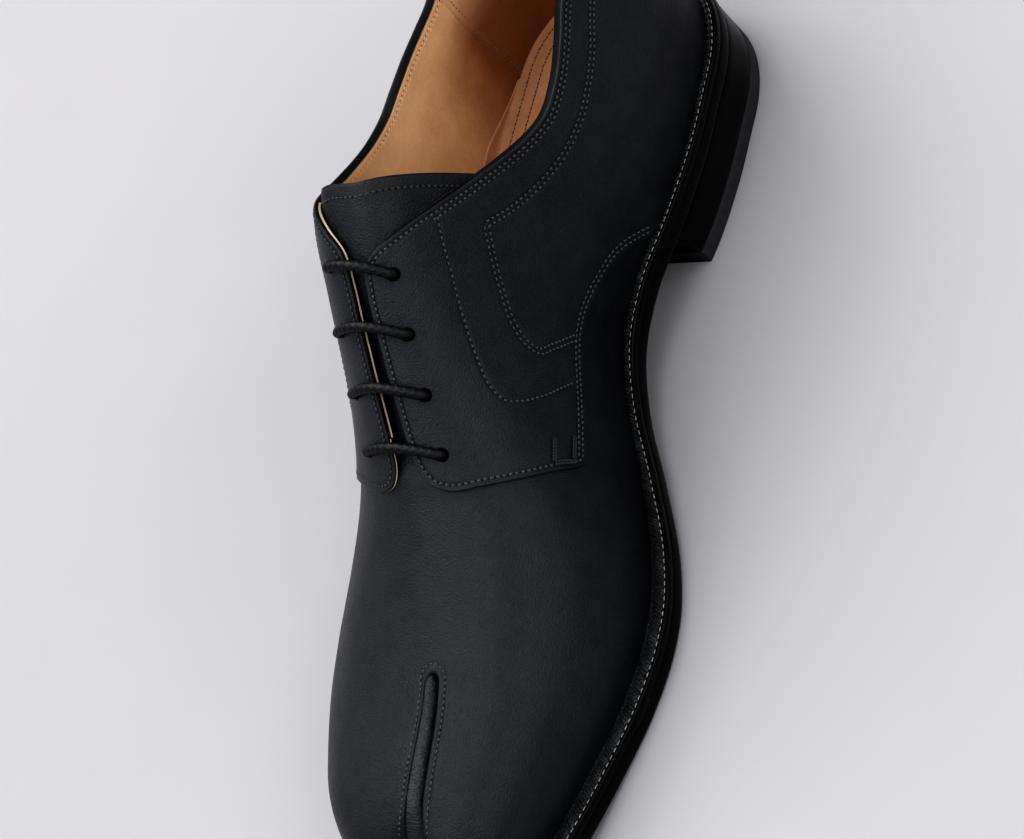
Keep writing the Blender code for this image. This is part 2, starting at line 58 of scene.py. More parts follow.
SOLE = dict(
    s=(40, 62, 86, 103, 120, 138, 160, 182, 200, 214, 228, 245, 260, 275, 290, 300),
    med=(35.7, 35.8, 33.0, 27.6, 25.2, 28.8, 38.4, 47.6, 52.0, 52.4, 50.6, 46.8, 43.2, 39.6, 36.0, 33.6),
    lat=(35.7, 35.8, 34.8, 34.4, 36.3, 41.2, 48.4, 53.6, 55.4, 55.3, 53.4, 48.6, 43.0, 36.8, 30.6, 26.5),
    bottom=(20.0, 19.6, 18.8, 15.2, 10.6, 6.6, 2.9, 0.6, 0.0, 0.0, 0.0, 0.7, 2.0, 4.0, 6.6, 8.6),
    margin=(4.0, 3.6, 3.2, 3.0, 3.0, 3.2, 4.4, 5.6, 6.0, 6.0, 6.0, 6.0, 6.0, 6.0, 6.0, 6.0),
)
LAST = dict(
    c=(0, 40, 63, 85, 103, 120, 140, 160, 180, 200, 220, 240, 260, 280, 300),
    ridge_x=(0, 0, -1.0, -3.0, -5.0, -6.4, -6.6, -4.2, -0.6, 3.4, 7.4, 9.7, 9.4, 7.8, 5.6),
    ridge_z=(132, 132, 132, 131, 126, 118, 104, 88.5, 73, 61, 52.5, 46.6, 43.0, 41.0, 39.0),
    rise=(.36, .36, .36, .38, .40, .42, .44, .46, .48, .50, .52, .54, .56, .58, .60),
    crown_m=(.70, .70, .70, .69, .65, .61, .58, .57, .56, .56, .58, .60, .62, .64, .66),
    crown_l=(.70, .70, .70, .73, .84, 1.07, .71, .41, .34, .39, .51, .63, .68, .71, .68),
    out_m=(5, 4, 4, 3, 2, 1.5, 2, 3, 4, 4, 4, 4, 4, 4, 4),
    out_l=(5, 4, 4, 4, 5.5, 8.4, 4.6, 1.4, -0.5, 1.5, 3.2, 5.3, 5.7, 6.2, 5),
)
TOPLINE = dict(
    c=(0, 20, 42, 51, 62, 73, 83, 92, 103, 113, 122, 130, 135, 139),
    med=(.470, .478, .480, .474, .452, .430, .424, .450, .510, .588, .683, .797, .890, .955),
    lat=(.470, .440, .408, .420, .435, .443, .452, .484, .553, .638, .757, .867, .935, .957),
)
LOBES = dict(
    med=dict(side=1, tip_x=21.0, tip_s=296.0, round_s=262.0),
    lat=dict(side=-1, tip_x=-11.0, tip_s=292.0, round_s=256.0),
)
ROUND_N, CLEFT_LATE, TOP_N, TOP_S, LOBE_OWN = 2.4, 12.0, 2.6, 254.0, 34.0
RIM_GROW, RIM_TIP, RIM_TIP_S = 0.05, 9.0, 268.0
ROLL_R, ROLL_GROW = 1.1, 0.012       # the leather's rim is turned in tighter than the shell's
TUCK, TUCK_R = 1.3, 0.35             # the lateral rim stops short and the gusset starts under it

# ------------------------------------------------------------------ sizes of the looks (mm)
LEATHER = 1.2           # quarters stand this proud of the vamp
EDGE_R, CUT_R = 0.55, 0.32   # rounding of the folded collar and of a cut edge
STITCH = 1.8            # pitch of the upper's stitches
WELT_STITCH = 2.3       # pitch of the welt's stitches
HOLE_R = 1.75           # lace holes

# seams of a quarter as (station, way up the section); the medial side, the lateral one is its mirror
SEAM = dict(c=(90.5, 91.9, 94.3, 98.0, 102.0, 111.8, 120.2, 131.6, 144.1, 159.6, 168.7),
            q=(0.0, .013, .035, .065, .089, .124, .150, .181, .205, .250, .279))
FRONT = dict(c=(168.7, 170.1, 174.6, 179.4, 185.5, 188.6, 187.4, 183.8, 177.0),
             q=(.279, .300, .400, .513, .693, .834, .903, .940, None))
# stitch rows as (station, part of the way to the edge of the quarter)
ROW_STAY = dict(c=(120.8, 126.2, 133.3, 143.9, 152.8, 159.4, 161.6, 160.3, 155.8, 146.3),
                r=(.950, .846, .710, .627, .618, .600, .563, .503, .408, .262))
ROW_PANEL = dict(c=(116.4, 122.8, 131.2, 138.3, 142.1, 142.8, 138.7, 131.5),
                 r=(.781, .672, .546, .455, .419, .376, .313, .250))
ROW_COUNTER = dict(c=(0, 20, 46, 60.1, 69.9, 78.7, 89.2, 96.5, 103.8, 110.6, 116.4),
                   r=(.845, .84, .830, .800, .800, .795, .781, .765, .760, .768, .781))


# ------------------------------------------------------------------ the last
def curve(xs, ys):
    """Smooth curve through a table (cubic pieces, slopes from the neighbours)."""
    xs, ys = np.asarray(xs, float), np.asarray(ys, float)
    h = np.diff(xs)
    d = np.diff(ys) / h
    m = np.empty_like(ys)
    m[0], m[-1] = d[0], d[-1]
    m[1:-1] = (d[:-1] * h[1:] + d[1:] * h[:-1]) / (h[:-1] + h[1:])

    def at(x):
        x = np.asarray(x, float)
        i = np.clip(np.searchsorted(xs, x, side='right') - 1, 0, len(h) - 1)
        t = (x - xs[i]) / h[i]
        return ((2 * t**3 - 3 * t**2 + 1) * ys[i] + (t**3 - 2 * t**2 + t) * h[i] * m[i]
                + (3 * t**2 - 2 * t**3) * ys[i + 1] + (t**3 - t**2) * h[i] * m[i + 1])
    return at


sole = {k: curve(SOLE['s'], v) for k, v in SOLE.items() if k != 's'}
last = {k: curve(LAST['c'], v) for k, v in LAST.items() if k != 'c'}
topline = {k: curve(TOPLINE['c'], v) for k, v in TOPLINE.items() if k != 'c'}


def name_of(side):
    return 'med' if side > 0 else 'lat'


def smooth(t):
    t = np.clip(t, 0.0, 1.0)
    return t * t * (3 - 2 * t)


def bottom(s):
    s = np.asarray(s, float)
    return np.where(s < AXIS, SOLE['bottom'][0] + 0.012 * (AXIS - s), np.maximum(0.0, sole['bottom'](s)))


def feather_z(s):
    return bottom(s) + SOLE_T + WELT_T + 2 * GAP


def margin(s):
    return sole['margin'](np.maximum(s, AXIS))


def tip_round(s, start, tip, n):
    q = np.clip((np.asarray(s, float) - start) / (tip - start), 0.0, 1.0)
    return np.maximum(0.0, 1.0 - q**n) ** (1.0 / n)


def heel_rho(phi, inset):
    a, b = SOLE['med'][0] - inset, AXIS - inset
    return ((np.abs(np.sin(phi)) / a)**HEEL_N + (np.abs(np.cos(phi)) / b)**HEEL_N) ** (-1.0 / HEEL_N)


def edge_x(side, s, inset):
    lobe = LOBES[name_of(side)]
    r = tip_round(s, lobe['round_s'], lobe['tip_s'] - inset, ROUND_N)
    return lobe['tip_x'] + (side * (sole[name_of(side)](s) - inset) - lobe['tip_x']) * r


def cleft_half(s):
    return CLEFT_HALF + CLEFT_GROW * np.maximum(0.0, np.asarray(s, float) - CLEFT_S)


def cleft_x(side, s, inset, tip_inset):
    lobe = LOBES[name_of(side)]
    end = CLEFT_S + RIM_R - inset
    w = cleft_half(s) + inset
    u = np.clip((s - end) / w, 0.0, 1.0)
    x = last['ridge_x'](s) + side * w * np.sqrt(u * (2.0 - u))
    r = tip_round(s, lobe['round_s'] + CLEFT_LATE, lobe['tip_s'] - tip_inset, ROUND_N)
    return lobe['tip_x'] + (x - lobe['tip_x']) * r


def section(side, c, wall=0.0):
    """Half sections of the last: four control points (distance from the ridge, height) per station."""
    c = np.asarray(c, float)
    phi = np.pi / 2 * np.minimum(c, AXIS) / AXIS
    r_heel = heel_rho(phi, margin(0.0) + wall)
    z_heel = feather_z(AXIS - r_heel * np.cos(phi))
    r_side = np.abs(edge_x(side, c, margin(c) + wall) - last['ridge_x'](c))
    rf = np.where(c < AXIS, r_heel, r_side)
    zf = np.where(c < AXIS, z_heel, feather_z(c))
    zr = last['ridge_z'](c) - wall
    key = '_m' if side > 0 else '_l'
    return ((rf, zf), (rf + last['out' + key](c), zf + last['rise'](c) * (zr - zf)),
            (last['crown' + key](c) * rf, zr), (0.0 * rf, zr))


def shell(side, c, q, wall=0.0):
    c, q = np.broadcast_arrays(np.asarray(c, float), np.asarray(q, float))
    p = section(side, c, wall)
    b = ((1 - q)**3, 3 * (1 - q)**2 * q, 3 * (1 - q) * q**2, q**3)
    rho = sum(k * v[0] for k, v in zip(b, p))
    z = sum(k * v[1] for k, v in zip(b, p))
    phi = np.pi / 2 * c / AXIS
    x = np.where(c < AXIS, side * rho * np.sin(phi), last['ridge_x'](c) + side * rho)
    s = np.where(c < AXIS, AXIS - rho * np.cos(phi), c)
    return np.stack([x, s, z], -1)


def unit(v):
    return v / np.maximum(np.linalg.norm(v, axis=-1, keepdims=True), 1e-12)


def shell_frame(side, c, q):
    """Outward normal and the two surface directions (per station, per way up)."""
    dc = (shell(side, c + 0.05, q) - shell(side, c - 0.05, q)) / 0.1
    dq = (shell(side, c, q + 0.0005) - shell(side, c, q - 0.0005)) / 0.001
    return unit(np.cross(dc, dq)) * side, dc, dq


def flare(side, c, q):
    """The tongue's lateral corner stands off a little above the facing."""
    return 0.0 * c * q if side > 0 else 2.4 * np.exp(-((c - 115.0) / 10.0)**2) * np.exp(-((q - 0.80) / 0.10)**2)


def on(side, c, q, h=0.0):
    """Point at height h over the last."""
    c, q, h = np.broadcast_arrays(np.asarray(c, float), np.asarray(q, float), np.asarray(h, float))
    n, _, _ = shell_frame(side, c, q)
    return shell(side, c, q) + n * h[..., None]


def q_at(side, c, rho):
    lo, hi = np.full(np.shape(c), 0.4), np.ones(np.shape(c))
    p = section(side, c)
    for _ in range(40):
        mid = 0.5 * (lo + hi)
        r = (1 - mid)**3 * p[0][0] + 3 * (1 - mid)**2 * mid * p[1][0] + 3 * (1 - mid) * mid**2 * p[2][0]
        lo, hi = np.where(r > rho, mid, lo), np.where(r > rho, hi, mid)
    return 0.5 * (lo + hi)


def edge_q(side, c):
    """Upper edge of a quarter: topline, then the lacing slot."""
    c = np.asarray(c, float)
    top = topline[name_of(side)](np.minimum(c, SLOT_TOP))
    t = np.clip((c - SLOT_TOP) / (SLOT_S - SLOT_TOP), 0.0, 1.0)
    half = SLOT_HALF[0] + (SLOT_HALF[1] - SLOT_HALF[0]) * t
    q = q_at(side, np.maximum(c, SLOT_TOP), half)
    k = smooth((c - SLOT_TOP) / 8.0)
    return np.where(c <= SLOT_TOP, top, (1 - k) * top + k * q)


X_MID = 0.5 * (float(np.max(edge_x(1, np.arange(190, 240, 0.5), 0.0)))
               + float(np.min(edge_x(-1, np.arange(190, 240, 0.5), 0.0))))


def to_row(p):
    p = np.asarray(p, float)
    return np.stack([p[..., 0] - X_MID, LENGTH / 2 - p[..., 1], p[..., 2]], -1) / 1000.0


# ------------------------------------------------------------------ camera, floor, light
CAM_BACK = Vector((0.5968, -0.3516, 0.7213)).normalized()
CAM_UP = Vector((0.0187, 0.9048, 0.4255)).normalized()
CAM_RIGHT = CAM_UP.cross(CAM_BACK).normalized()
cam_data = bpy.data.cameras.new("camera")
cam_data.sensor_width = 36.0
cam_data.lens = 36.0 * 4218.8 / 1024.0
cam = bpy.data.objects.new("camera", cam_data)
bpy.context.scene.collection.objects.link(cam)
spot = Vector((-X_MID / 1000.0, 0.0, 0.030)) + CAM_BACK * 1.2 - CAM_RIGHT * 0.001593 - CAM_UP * 0.001991
up = CAM_BACK.cross(CAM_RIGHT)
cam.matrix_world = Matrix(((CAM_RIGHT.x, up.x, CAM_BACK.x, spot.x), (CAM_RIGHT.y, up.y, CAM_BACK.y, spot.y),
                           (CAM_RIGHT.z, up.z, CAM_BACK.z, spot.z), (0, 0, 0, 1)))
bpy.context.scene.camera = cam


def area_light(name, place, target, size, power, colour):
    data = bpy.data.lights.new(name, 'AREA')
    data.shape = 'RECTANGLE'
    data.size, data.size_y = size
    data.energy, data.color = power, colour
    obj = bpy.data.objects.new(name, data)
    bpy.context.scene.collection.objects.link(obj)
    obj.location = place
    obj.rotation_euler = (Vector(target) - Vector(place)).to_track_quat('-Z', 'Y').to_euler()
    return obj


area_light("key", (-1.20, 0.80, 1.35), (0.0, 0.0, 0.03), (1.2, 1.2), 12.0, (1.0, 0.985, 0.965))
area_light("top", (-0.30, -0.40, 1.65), (0.0, 0.0, 0.05), (2.0, 2.0), 17.0, (1.0, 0.99, 0.98))
area_light("side", (1.35, -0.05, 0.86), (0.0, 0.0, 0.05), (2.8, 0.9), 14.0, (0.97, 0.99, 1.0))

# a soft dome overhead, dim near the horizon
world = bpy.data.worlds.new("world")
bpy.context.scene.world = world
world.use_nodes = True
tree = world.node_tree
way = tree.nodes.new("ShaderNodeTexCoord")
along = tree.nodes.new("ShaderNodeVectorMath")
along.operation = 'DOT_PRODUCT'
along.inputs[1].default_value = Vector((-0.16, -0.10, 0.98)).normalized()
tree.links.new(way.outputs["Generated"], along.inputs[0])
shade = tree.nodes.new("ShaderNodeValToRGB")
shade.color_ramp.interpolation = 'EASE'
shade.color_ramp.elements[0].position, shade.color_ramp.elements[0].color = 0.12, (0.02, 0.02, 0.021, 1.0)
shade.color_ramp.elements[1].position, shade.color_ramp.elements[1].color = 0.66, (0.62, 0.65, 0.71, 1.0)
tree.links.new(along.outputs["Value"], shade.inputs["Fac"])
tree.links.new(shade.outputs["Color"], tree.nodes["Background"].inputs["Color"])
tree.nodes["Background"].inputs["Strength"].default_value = 1.0
bpy.context.scene.view_settings.view_transform = 'Standard'
bpy.context.scene.view_settings.look = 'Very High Contrast'


# ------------------------------------------------------------------ materials
class Look:
    """Node helper around one Principled shader; sizes of patterns in millimetres."""

    def __init__(self, name):
        self.mat = bpy.data.materials.new(name)
        self.mat.use_nodes = True
        self.tree = self.mat.node_tree
        self.shader = self.tree.nodes["Principled BSDF"]
        coord = self.tree.nodes.new("ShaderNodeTexCoord")
        self.mm = self.tree.nodes.new("ShaderNodeVectorMath")
        self.mm.operation = 'SCALE'
        self.mm.inputs["Scale"].default_value = 1000.0
        self.link(coord.outputs["Object"], self.mm.inputs[0])
        self.bump_out = None

    def link(self, a, b):
        self.tree.links.new(a, b)

    def set(self, **values):
        for key, value in values.items():
            self.shader.inputs[key.replace('_', ' ')].default_value = value

    def noise(self, size, detail=3.0, rough=0.5, stretch=None, warp=0.0):
        node = self.tree.nodes.new("ShaderNodeTexNoise")
        node.inputs["Scale"].default_value = 1.0 / size
        node.inputs["Detail"].default_value = detail
        node.inputs["Roughness"].default_value = rough
        node.inputs["Distortion"].default_value = warp
        self.link(self._stretched(stretch), node.inputs["Vector"])
        return node.outputs["Fac"]

    def cells(self, size, kind='F1', out="Distance", stretch=None):
        node = self.tree.nodes.new("ShaderNodeTexVoronoi")
        node.feature = kind
        node.inputs["Scale"].default_value = 1.0 / size
        self.link(self._stretched(stretch), node.inputs["Vector"])
        return node.outputs[out]

    def _stretched(self, stretch):
        if stretch is None:
            return self.mm.outputs["Vector"]
        node = self.tree.nodes.new("ShaderNodeVectorMath")
        node.operation = 'MULTIPLY'
        node.inputs[1].default_value = stretch
        self.link(self.mm.outputs["Vector"], node.inputs[0])
        return node.outputs["Vector"]

    def ramp(self, value, stops):
        node = self.tree.nodes.new("ShaderNodeValToRGB")
        ramp = node.color_ramp
        while len(ramp.elements) < len(stops):
            ramp.elements.new(0.5)
        for e, (pos, colour) in zip(ramp.elements, stops):
            e.position = pos
            e.color = (*colour, 1.0) if len(colour) == 3 else colour
        self.link(value, node.inputs["Fac"])
        return node.outputs["Color"]

    def span(self, value, low, high, lo=0.3, hi=0.7):
        node = self.tree.nodes.new("ShaderNodeMapRange")
        node.inputs["From Min"].default_value, node.inputs["From Max"].default_value = lo, hi
        node.inputs["To Min"].default_value, node.inputs["To Max"].default_value = low, high
        self.link(value, node.inputs["Value"])
        return node.outputs["Result"]

    def math(self, op, a, b):
        node = self.tree.nodes.new("ShaderNodeMath")
        node.operation = op
        for k, v in enumerate((a, b)):
            if isinstance(v, (int, float)):
                node.inputs[k].default_value = v
            else:
                self.link(v, node.inputs[k])
        return node.outputs[0]

    def bump(self, value, depth, strength=1.0):
        """Adds a bump of that depth in millimetres on top of the ones before."""
        node = self.tree.nodes.new("ShaderNodeBump")
        node.inputs["Strength"].default_value = strength
        node.inputs["Distance"].default_value = depth / 1000.0
        self.link(value, node.inputs["Height"])
        if self.bump_out is not None:
            self.link(self.bump_out, node.inputs["Normal"])
        self.bump_out = node.outputs["Normal"]
        self.link(self.bump_out, self.shader.inputs["Normal"])

    def colour(self, out):
        self.link(out, self.shader.inputs["Base Color"])

    def rough(self, out):
        self.link(out, self.shader.inputs["Roughness"])


def calf(name, dark, light, rough=(0.31, 0.41), grain=0.130, coat=0.08, coat_rough=0.24, pore=0.46, spec=0.40, pleat=0.0, painted_foot_shade=False):
    """Smooth dyed calf: fine closed grain, faint pores, slightly uneven polish."""
    k = Look(name)
    tone = k.noise(9.0, 4.0, 0.6)
    fine = k.noise(0.36, 3.0, 0.7)
    both = k.math('ADD', k.math('MULTIPLY', tone, 0.4), k.math('MULTIPLY', fine, 0.6))
    k.colour(k.ramp(both, ((0.38, dark), (0.62, light))))
    polish = k.noise(14.0, 5.0, 0.6)
    k.rough(k.math('ADD', k.span(polish, *rough), k.span(fine, 0.12, -0.12)))
    k.bump(k.noise(6.0, 3.0, 0.5), 0.05, 0.2)
    k.bump(k.cells(pore, 'SMOOTH_F1'), -grain * 2.0, 0.9)
    k.bump(fine, grain * 2.0, 0.9)
    if pleat:
        k.bump(k.noise(0.55, 2.0, 0.6, stretch=(0.25, 1.0, 0.25)), pleat, 1.0)
    k.set(Coat_Weight=coat, Coat_Roughness=coat_rough, Specular_IOR_Level=spec, Specular_Tint=(0.93, 0.955, 1.0, 1.0))
    if painted_foot_shade:
        # painted shade: gloss and coat are turned down towards the welt to stand in for the shade at the foot of the
        # walls; towards the toes the full gloss reaches further down
        place = k.tree.nodes.new("ShaderNodeSeparateXYZ")
        k.link(k.mm.outputs["Vector"], place.inputs[0])
        ahead = k.math('MAXIMUM', k.math('MULTIPLY', place.outputs["Y"], -0.62), 10.0)
        level = k.math('ADD', k.math('ADD', place.outputs["Z"], ahead), k.span(k.noise(18.0, 3.0, 0.6), -3.0, 3.0))
        k.link(k.span(level, 0.10, spec, 36.0, 72.0), k.shader.inputs["Specular IOR Level"])
        k.link(k.span(level, 0.0, coat, 36.0, 72.0), k.shader.inputs["Coat Weight"])
    return k.mat


def tan_leather(name, dark, light, rough=(0.5, 0.62), grain=0.05, nap=0.0, deep=None):
    """Vegetable-tanned leather; with deep set its colour is multiplied towards deep going down into the heel, as
    painted shade of the heel's deep inside.
    """
    k = Look(name)
    tone = k.noise(16.0, 5.0, 0.65)
    fleck = k.noise(0.9, 2.0, 0.5)
    both = k.math('ADD', k.math('MULTIPLY', tone, 0.75), k.math('MULTIPLY', fleck, 0.25))
    shade = k.ramp(both, ((0.35, dark), (0.65, light)))
    # painted shade: going back into the heel and down the wall, the colour is multiplied towards deep
    if deep:
        place = k.tree.nodes.new("ShaderNodeSeparateXYZ")
        k.link(k.mm.outputs["Vector"], place.inputs[0])
        uneven = k.span(k.noise(22.0, 4.0, 0.6), -4.0, 4.0)
        back = k.span(k.math('ADD', place.outputs["Y"], uneven), 0.0, 1.0, 78.0, 106.0)
        down = k.span(k.math('ADD', place.outputs["Z"], uneven), 0.0, 1.0, 75.0, 56.0)
        mix = k.tree.nodes.new("ShaderNodeMix")
        mix.data_type = 'RGBA'
        mix.blend_type = 'MULTIPLY'
        k.link(k.math('MULTIPLY', back, down), mix.inputs[0])
        k.link(shade, mix.inputs[6])
        mix.inputs[7].default_value = (*deep, 1.0)
        shade = mix.outputs[2]
    k.colour(shade)
    k.rough(k.span(k.noise(7.0, 4.0), *rough))
    k.bump(k.cells(0.9, 'SMOOTH_F1'), grain, 0.5)
    k.bump(k.noise(0.45, 3.0, 0.7), grain * (1.0 + 2.0 * nap), 0.6)
    k.set(Sheen_Weight=0.25 * nap, Sheen_Roughness=0.5, Specular_IOR_Level=0.4)
    return k.mat


def edge_finish(name, dark, light, rough, streak, coat=0.0, coat_rough=0.16, spec=0.4):
    """Waxed and burnished cut leather: fine long streaks, soft gloss."""
    k = Look(name)
    lines = k.noise(1.6, 3.0, 0.6, stretch=(0.08, 0.08, 1.0))
    k.colour(k.ramp(lines, ((0.3, dark), (0.75, light))))
    k.rough(k.span(k.noise(5.0, 4.0, 0.6), *rough))
    k.bump(lines, streak, 0.5)
    k.bump(k.noise(0.7, 2.0), streak * 0.4, 0.4)
    k.set(Coat_Weight=coat, Coat_Roughness=coat_rough, Specular_IOR_Level=spec)
    return k.mat


def thread(name, dark, light, rough=0.6):
    k = Look(name)
    k.colour(k.ramp(k.noise(0.35, 2.0), ((0.3, dark), (0.7, light))))
    k.bump(k.noise(0.2, 2.0), 0.05, 0.6)
    k.set(Roughness=rough, Sheen_Weight=0.15)
    return k.mat


M = dict(
    # the black calf carries painted shade at the foot of its walls: less gloss and coat down towards the welt
    calf=calf("black_calf", (0.0068, 0.0073, 0.0083), (0.0180, 0.0190, 0.0210), painted_foot_shade=True),
    gusset=calf("black_gusset", (0.011, 0.0115, 0.0125), (0.032, 0.033, 0.035), (0.28, 0.40), 0.10, 0.05, pore=0.7, spec=0.6, pleat=0.5),
    edge=edge_finish("burnished_edge", (0.0045, 0.0045, 0.0046), (0.0095, 0.0094, 0.0093), (0.44, 0.56), 0.06, spec=0.15),
    # painted highlight: the cut edges of the seam and the front are a lighter grey than the collar's edge, so that they
    # read as lit
    cut=edge_finish("cut_edge_painted_highlight", (0.020, 0.020, 0.020), (0.052, 0.051, 0.050), (0.36, 0.5), 0.06),
    sole_edge=edge_finish("sole_edge", (0.0022, 0.0022, 0.0022), (0.0042, 0.0041, 0.0040), (0.22, 0.34), 0.05, spec=0.16),
    welt=calf("welt_leather", (0.0060, 0.0060, 0.0061), (0.0380, 0.0380, 0.0384), (0.22, 0.34), 0.17, 0.10, pore=0.7, spec=0.78),
    heel=edge_finish("heel_stack", (0.0022, 0.0022, 0.0022), (0.0044, 0.0043, 0.0042), (0.16, 0.26), 0.04, spec=0.12),
    lift=None,
    bottom=None,
    # deep on the lining and the heel grip: painted shade down into the heel
    lining=tan_leather("tan_lining", (0.57, 0.382, 0.230), (0.69, 0.492, 0.315), deep=(0.46, 0.30, 0.17)),
    counter=tan_leather("heel_grip_suede", (0.50, 0.320, 0.190), (0.62, 0.425, 0.265), (0.75, 0.9), 0.09, 0.8, deep=(0.44, 0.27, 0.15)),
    sock=tan_leather("sock_leather", (0.44, 0.262, 0.150), (0.56, 0.350, 0.215), (0.48, 0.6)),
    raw=tan_leather("raw_edge", (0.44, 0.35, 0.25), (0.64, 0.54, 0.41), (0.6, 0.75), 0.08),
    thread=thread("thread_black", (0.024, 0.024, 0.025), (0.092, 0.091, 0.090), 0.36),
    thread_dark=thread("thread_tack", (0.006, 0.006, 0.0063), (0.034, 0.034, 0.0345), 0.28),
    thread_cleft=thread("thread_cleft", (0.022, 0.022, 0.023), (0.086, 0.085, 0.084), 0.34),
    # painted shade: a darker copy of the black thread for the lateral quarter's rows and the tongue's row, which face
    # away from the light
    thread_painted_shade=thread("thread_painted_shade", (0.014, 0.014, 0.015), (0.052, 0.051, 0.050), 0.40),
    thread_welt=thread("thread_welt", (0.12, 0.118, 0.113), (0.36, 0.352, 0.336), 0.5),
    thread_tan=thread("thread_tan", (0.54, 0.38, 0.235), (0.72, 0.55, 0.37), 0.6),
    thread_sock=thread("thread_sock", (0.21, 0.112, 0.056), (0.38, 0.220, 0.118), 0.6),
    lace=None,
    hole=None,
)

k = Look("rubber_lift")
k.colour(k.ramp(k.noise(2.0, 4.0, 0.7), ((0.3, (0.027, 0.027, 0.028)), (0.7, (0.046, 0.046, 0.047)))))
k.rough(k.span(k.noise(1.2, 3.0), 0.45, 0.6))
k.set(Specular_IOR_Level=0.3)
k.bump(k.noise(0.5, 3.0, 0.7), 0.06, 0.6)
M['lift'] = k.mat

k = Look("sole_bottom")
k.colour(k.ramp(k.noise(6.0, 5.0, 0.7, stretch=(1.0, 0.35, 1.0)), ((0.3, (0.014, 0.0132, 0.0128)), (0.7, (0.026, 0.0245, 0.0235)))))
k.rough(k.span(k.noise(9.0, 4.0), 0.36, 0.55))
k.bump(k.noise(0.8, 4.0, 0.7), 0.08, 0.5)
M['bottom'] = k.mat

k = Look("waxed_cord")
k.colour(k.ramp(k.noise(0.5, 3.0), ((0.3, (0.0050, 0.0050, 0.0053)), (0.7, (0.0125, 0.0125, 0.0130)))))
k.rough(k.span(k.noise(0.9, 3.0), 0.36, 0.52))
k.bump(k.noise(0.25, 2.0), 0.09, 0.7)
k.set(Specular_IOR_Level=0.32)
M['lace'] = k.mat

# painted shade: near-black for the needle holes and for the bores and floors of the lace holes
k = Look("hole_painted_shade")
k.colour(k.ramp(k.noise(0.6, 2.0), ((0.3, (0.003, 0.003, 0.003)), (0.7, (0.006, 0.006, 0.006)))))
k.set(Roughness=0.9)
M['hole'] = k.mat

k = Look("floor")
k.colour(k.ramp(k.noise(260.0, 3.0, 0.5), ((0.3, (0.342, 0.331, 0.333)), (0.7, (0.348, 0.337, 0.339)))))
k.rough(k.span(k.noise(60.0, 3.0), 0.62, 0.70))
k.bump(k.noise(1.4, 3.0, 0.6), 0.05, 0.25)
M['floor'] = k.mat


# ------------------------------------------------------------------ mesh helpers
def build(name, verts, faces, mats, index=None, slot=None, inside=None, sharp=None, weld=0.0, closed=False):
    """Mesh piece from points in mm and faces (quads or triangles as lists of rows of indices).

    inside is a place that an open piece's normals point away from; a closed piece needs none.
    """
    verts = np.asarray(verts, float)
    mesh = bpy.data.meshes.new(name)
    if isinstance(faces, np.ndarray):
        faces = [faces]
    rows = [r for f in faces for r in np.asarray(f).tolist()]
    mesh.from_pydata(to_row(verts).tolist(), [], rows)
    if index is not None:
        mesh.polygons.foreach_set("material_index", np.asarray(index, np.int32))
    if weld or closed or inside is not None:
        bm = bmesh.new()
        bm.from_mesh(mesh)
        if weld:
            bmesh.ops.remove_doubles(bm, verts=bm.verts, dist=weld / 1000.0)
        bmesh.ops.recalc_face_normals(bm, faces=bm.faces)
        bm.to_mesh(mesh)
        bm.free()
    n = len(mesh.polygons)
    if inside is not None:
        centre, normal, area = np.zeros(n * 3), np.zeros(n * 3), np.zeros(n)
        mesh.polygons.foreach_get("center", centre)
        mesh.polygons.foreach_get("normal", normal)
        mesh.polygons.foreach_get("area", area)
        ref = to_row(inside)
        away = centre.reshape(-1, 3) - (ref if ref.ndim == 1 else ref.mean(0))
        if np.sum(np.sum(away * normal.reshape(-1, 3), 1) * area) < 0:
            mesh.flip_normals()
    mesh.polygons.foreach_set("use_smooth", np.ones(n, bool))
    if sharp is not None:
        bm = bmesh.new()
        bm.from_mesh(mesh)
        for e in bm.edges:
            if len(e.link_faces) == 2 and e.calc_face_angle(0.0) > math.radians(sharp):
                e.smooth = False
        bm.to_mesh(mesh)
        bm.free()
    mesh.update()
    obj = bpy.data.objects.new(name, mesh)
    bpy.context.scene.collection.objects.link(obj)
    for m in (mats if isinstance(mats, (list, tuple)) else [mats]):
        mesh.materials.append(m)
    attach(obj, "root")
    return obj


def quads(ids):
    """Quads of a grid of vertex numbers."""
    a = np.stack([ids[:-1, :-1], ids[:-1, 1:], ids[1:, 1:], ids[1:, :-1]], -1)
    return a.reshape(-1, 4)


class Parts:
    """Points and faces gathered from several grids, with a material number for each face."""

    def __init__(self):
        self.points, self.faces, self.index, self.count = [], [], [], 0

    def add(self, p):
        p = np.asarray(p, float)
        ids = self.count + np.arange(p[..., 0].size).reshape(p.shape[:-1])
        self.points.append(p.reshape(-1, 3))
        self.count += p[..., 0].size
        return ids

    def fill(self, ids, material=0):
        self.put(quads(ids), material)

    def put(self, faces, material=0):
        faces = np.asarray(faces)
        self.faces.append(faces)
        self.index.append(np.full(len(faces), material))

    def grid(self, p, material=0):
        ids = self.add(p)
        self.fill(ids, material)
        return ids

    def make(self, name, mats, **more):
        return build(name, np.concatenate(self.points), self.faces, mats, np.concatenate(self.index), **more)


def resample(points, step, closed=False):
    """Points at equal steps along a run, with directions."""
    p = np.asarray(points, float)
    if closed:
        p = np.concatenate([p, p[:1]])
    seg = np.linalg.norm(np.diff(p, axis=0), axis=1)
    keep = np.concatenate([[True], seg > 1e-9])
    p = p[keep]
    run = np.concatenate([[0.0], np.cumsum(np.linalg.norm(np.diff(p, axis=0), axis=1))])
    n = max(2, int(round(run[-1] / step)))
    at = (np.arange(n) + 0.5) * run[-1] / n
    return np.stack([np.interp(at, run, p[:, k]) for k in range(3)], 1), run[-1] / n, at


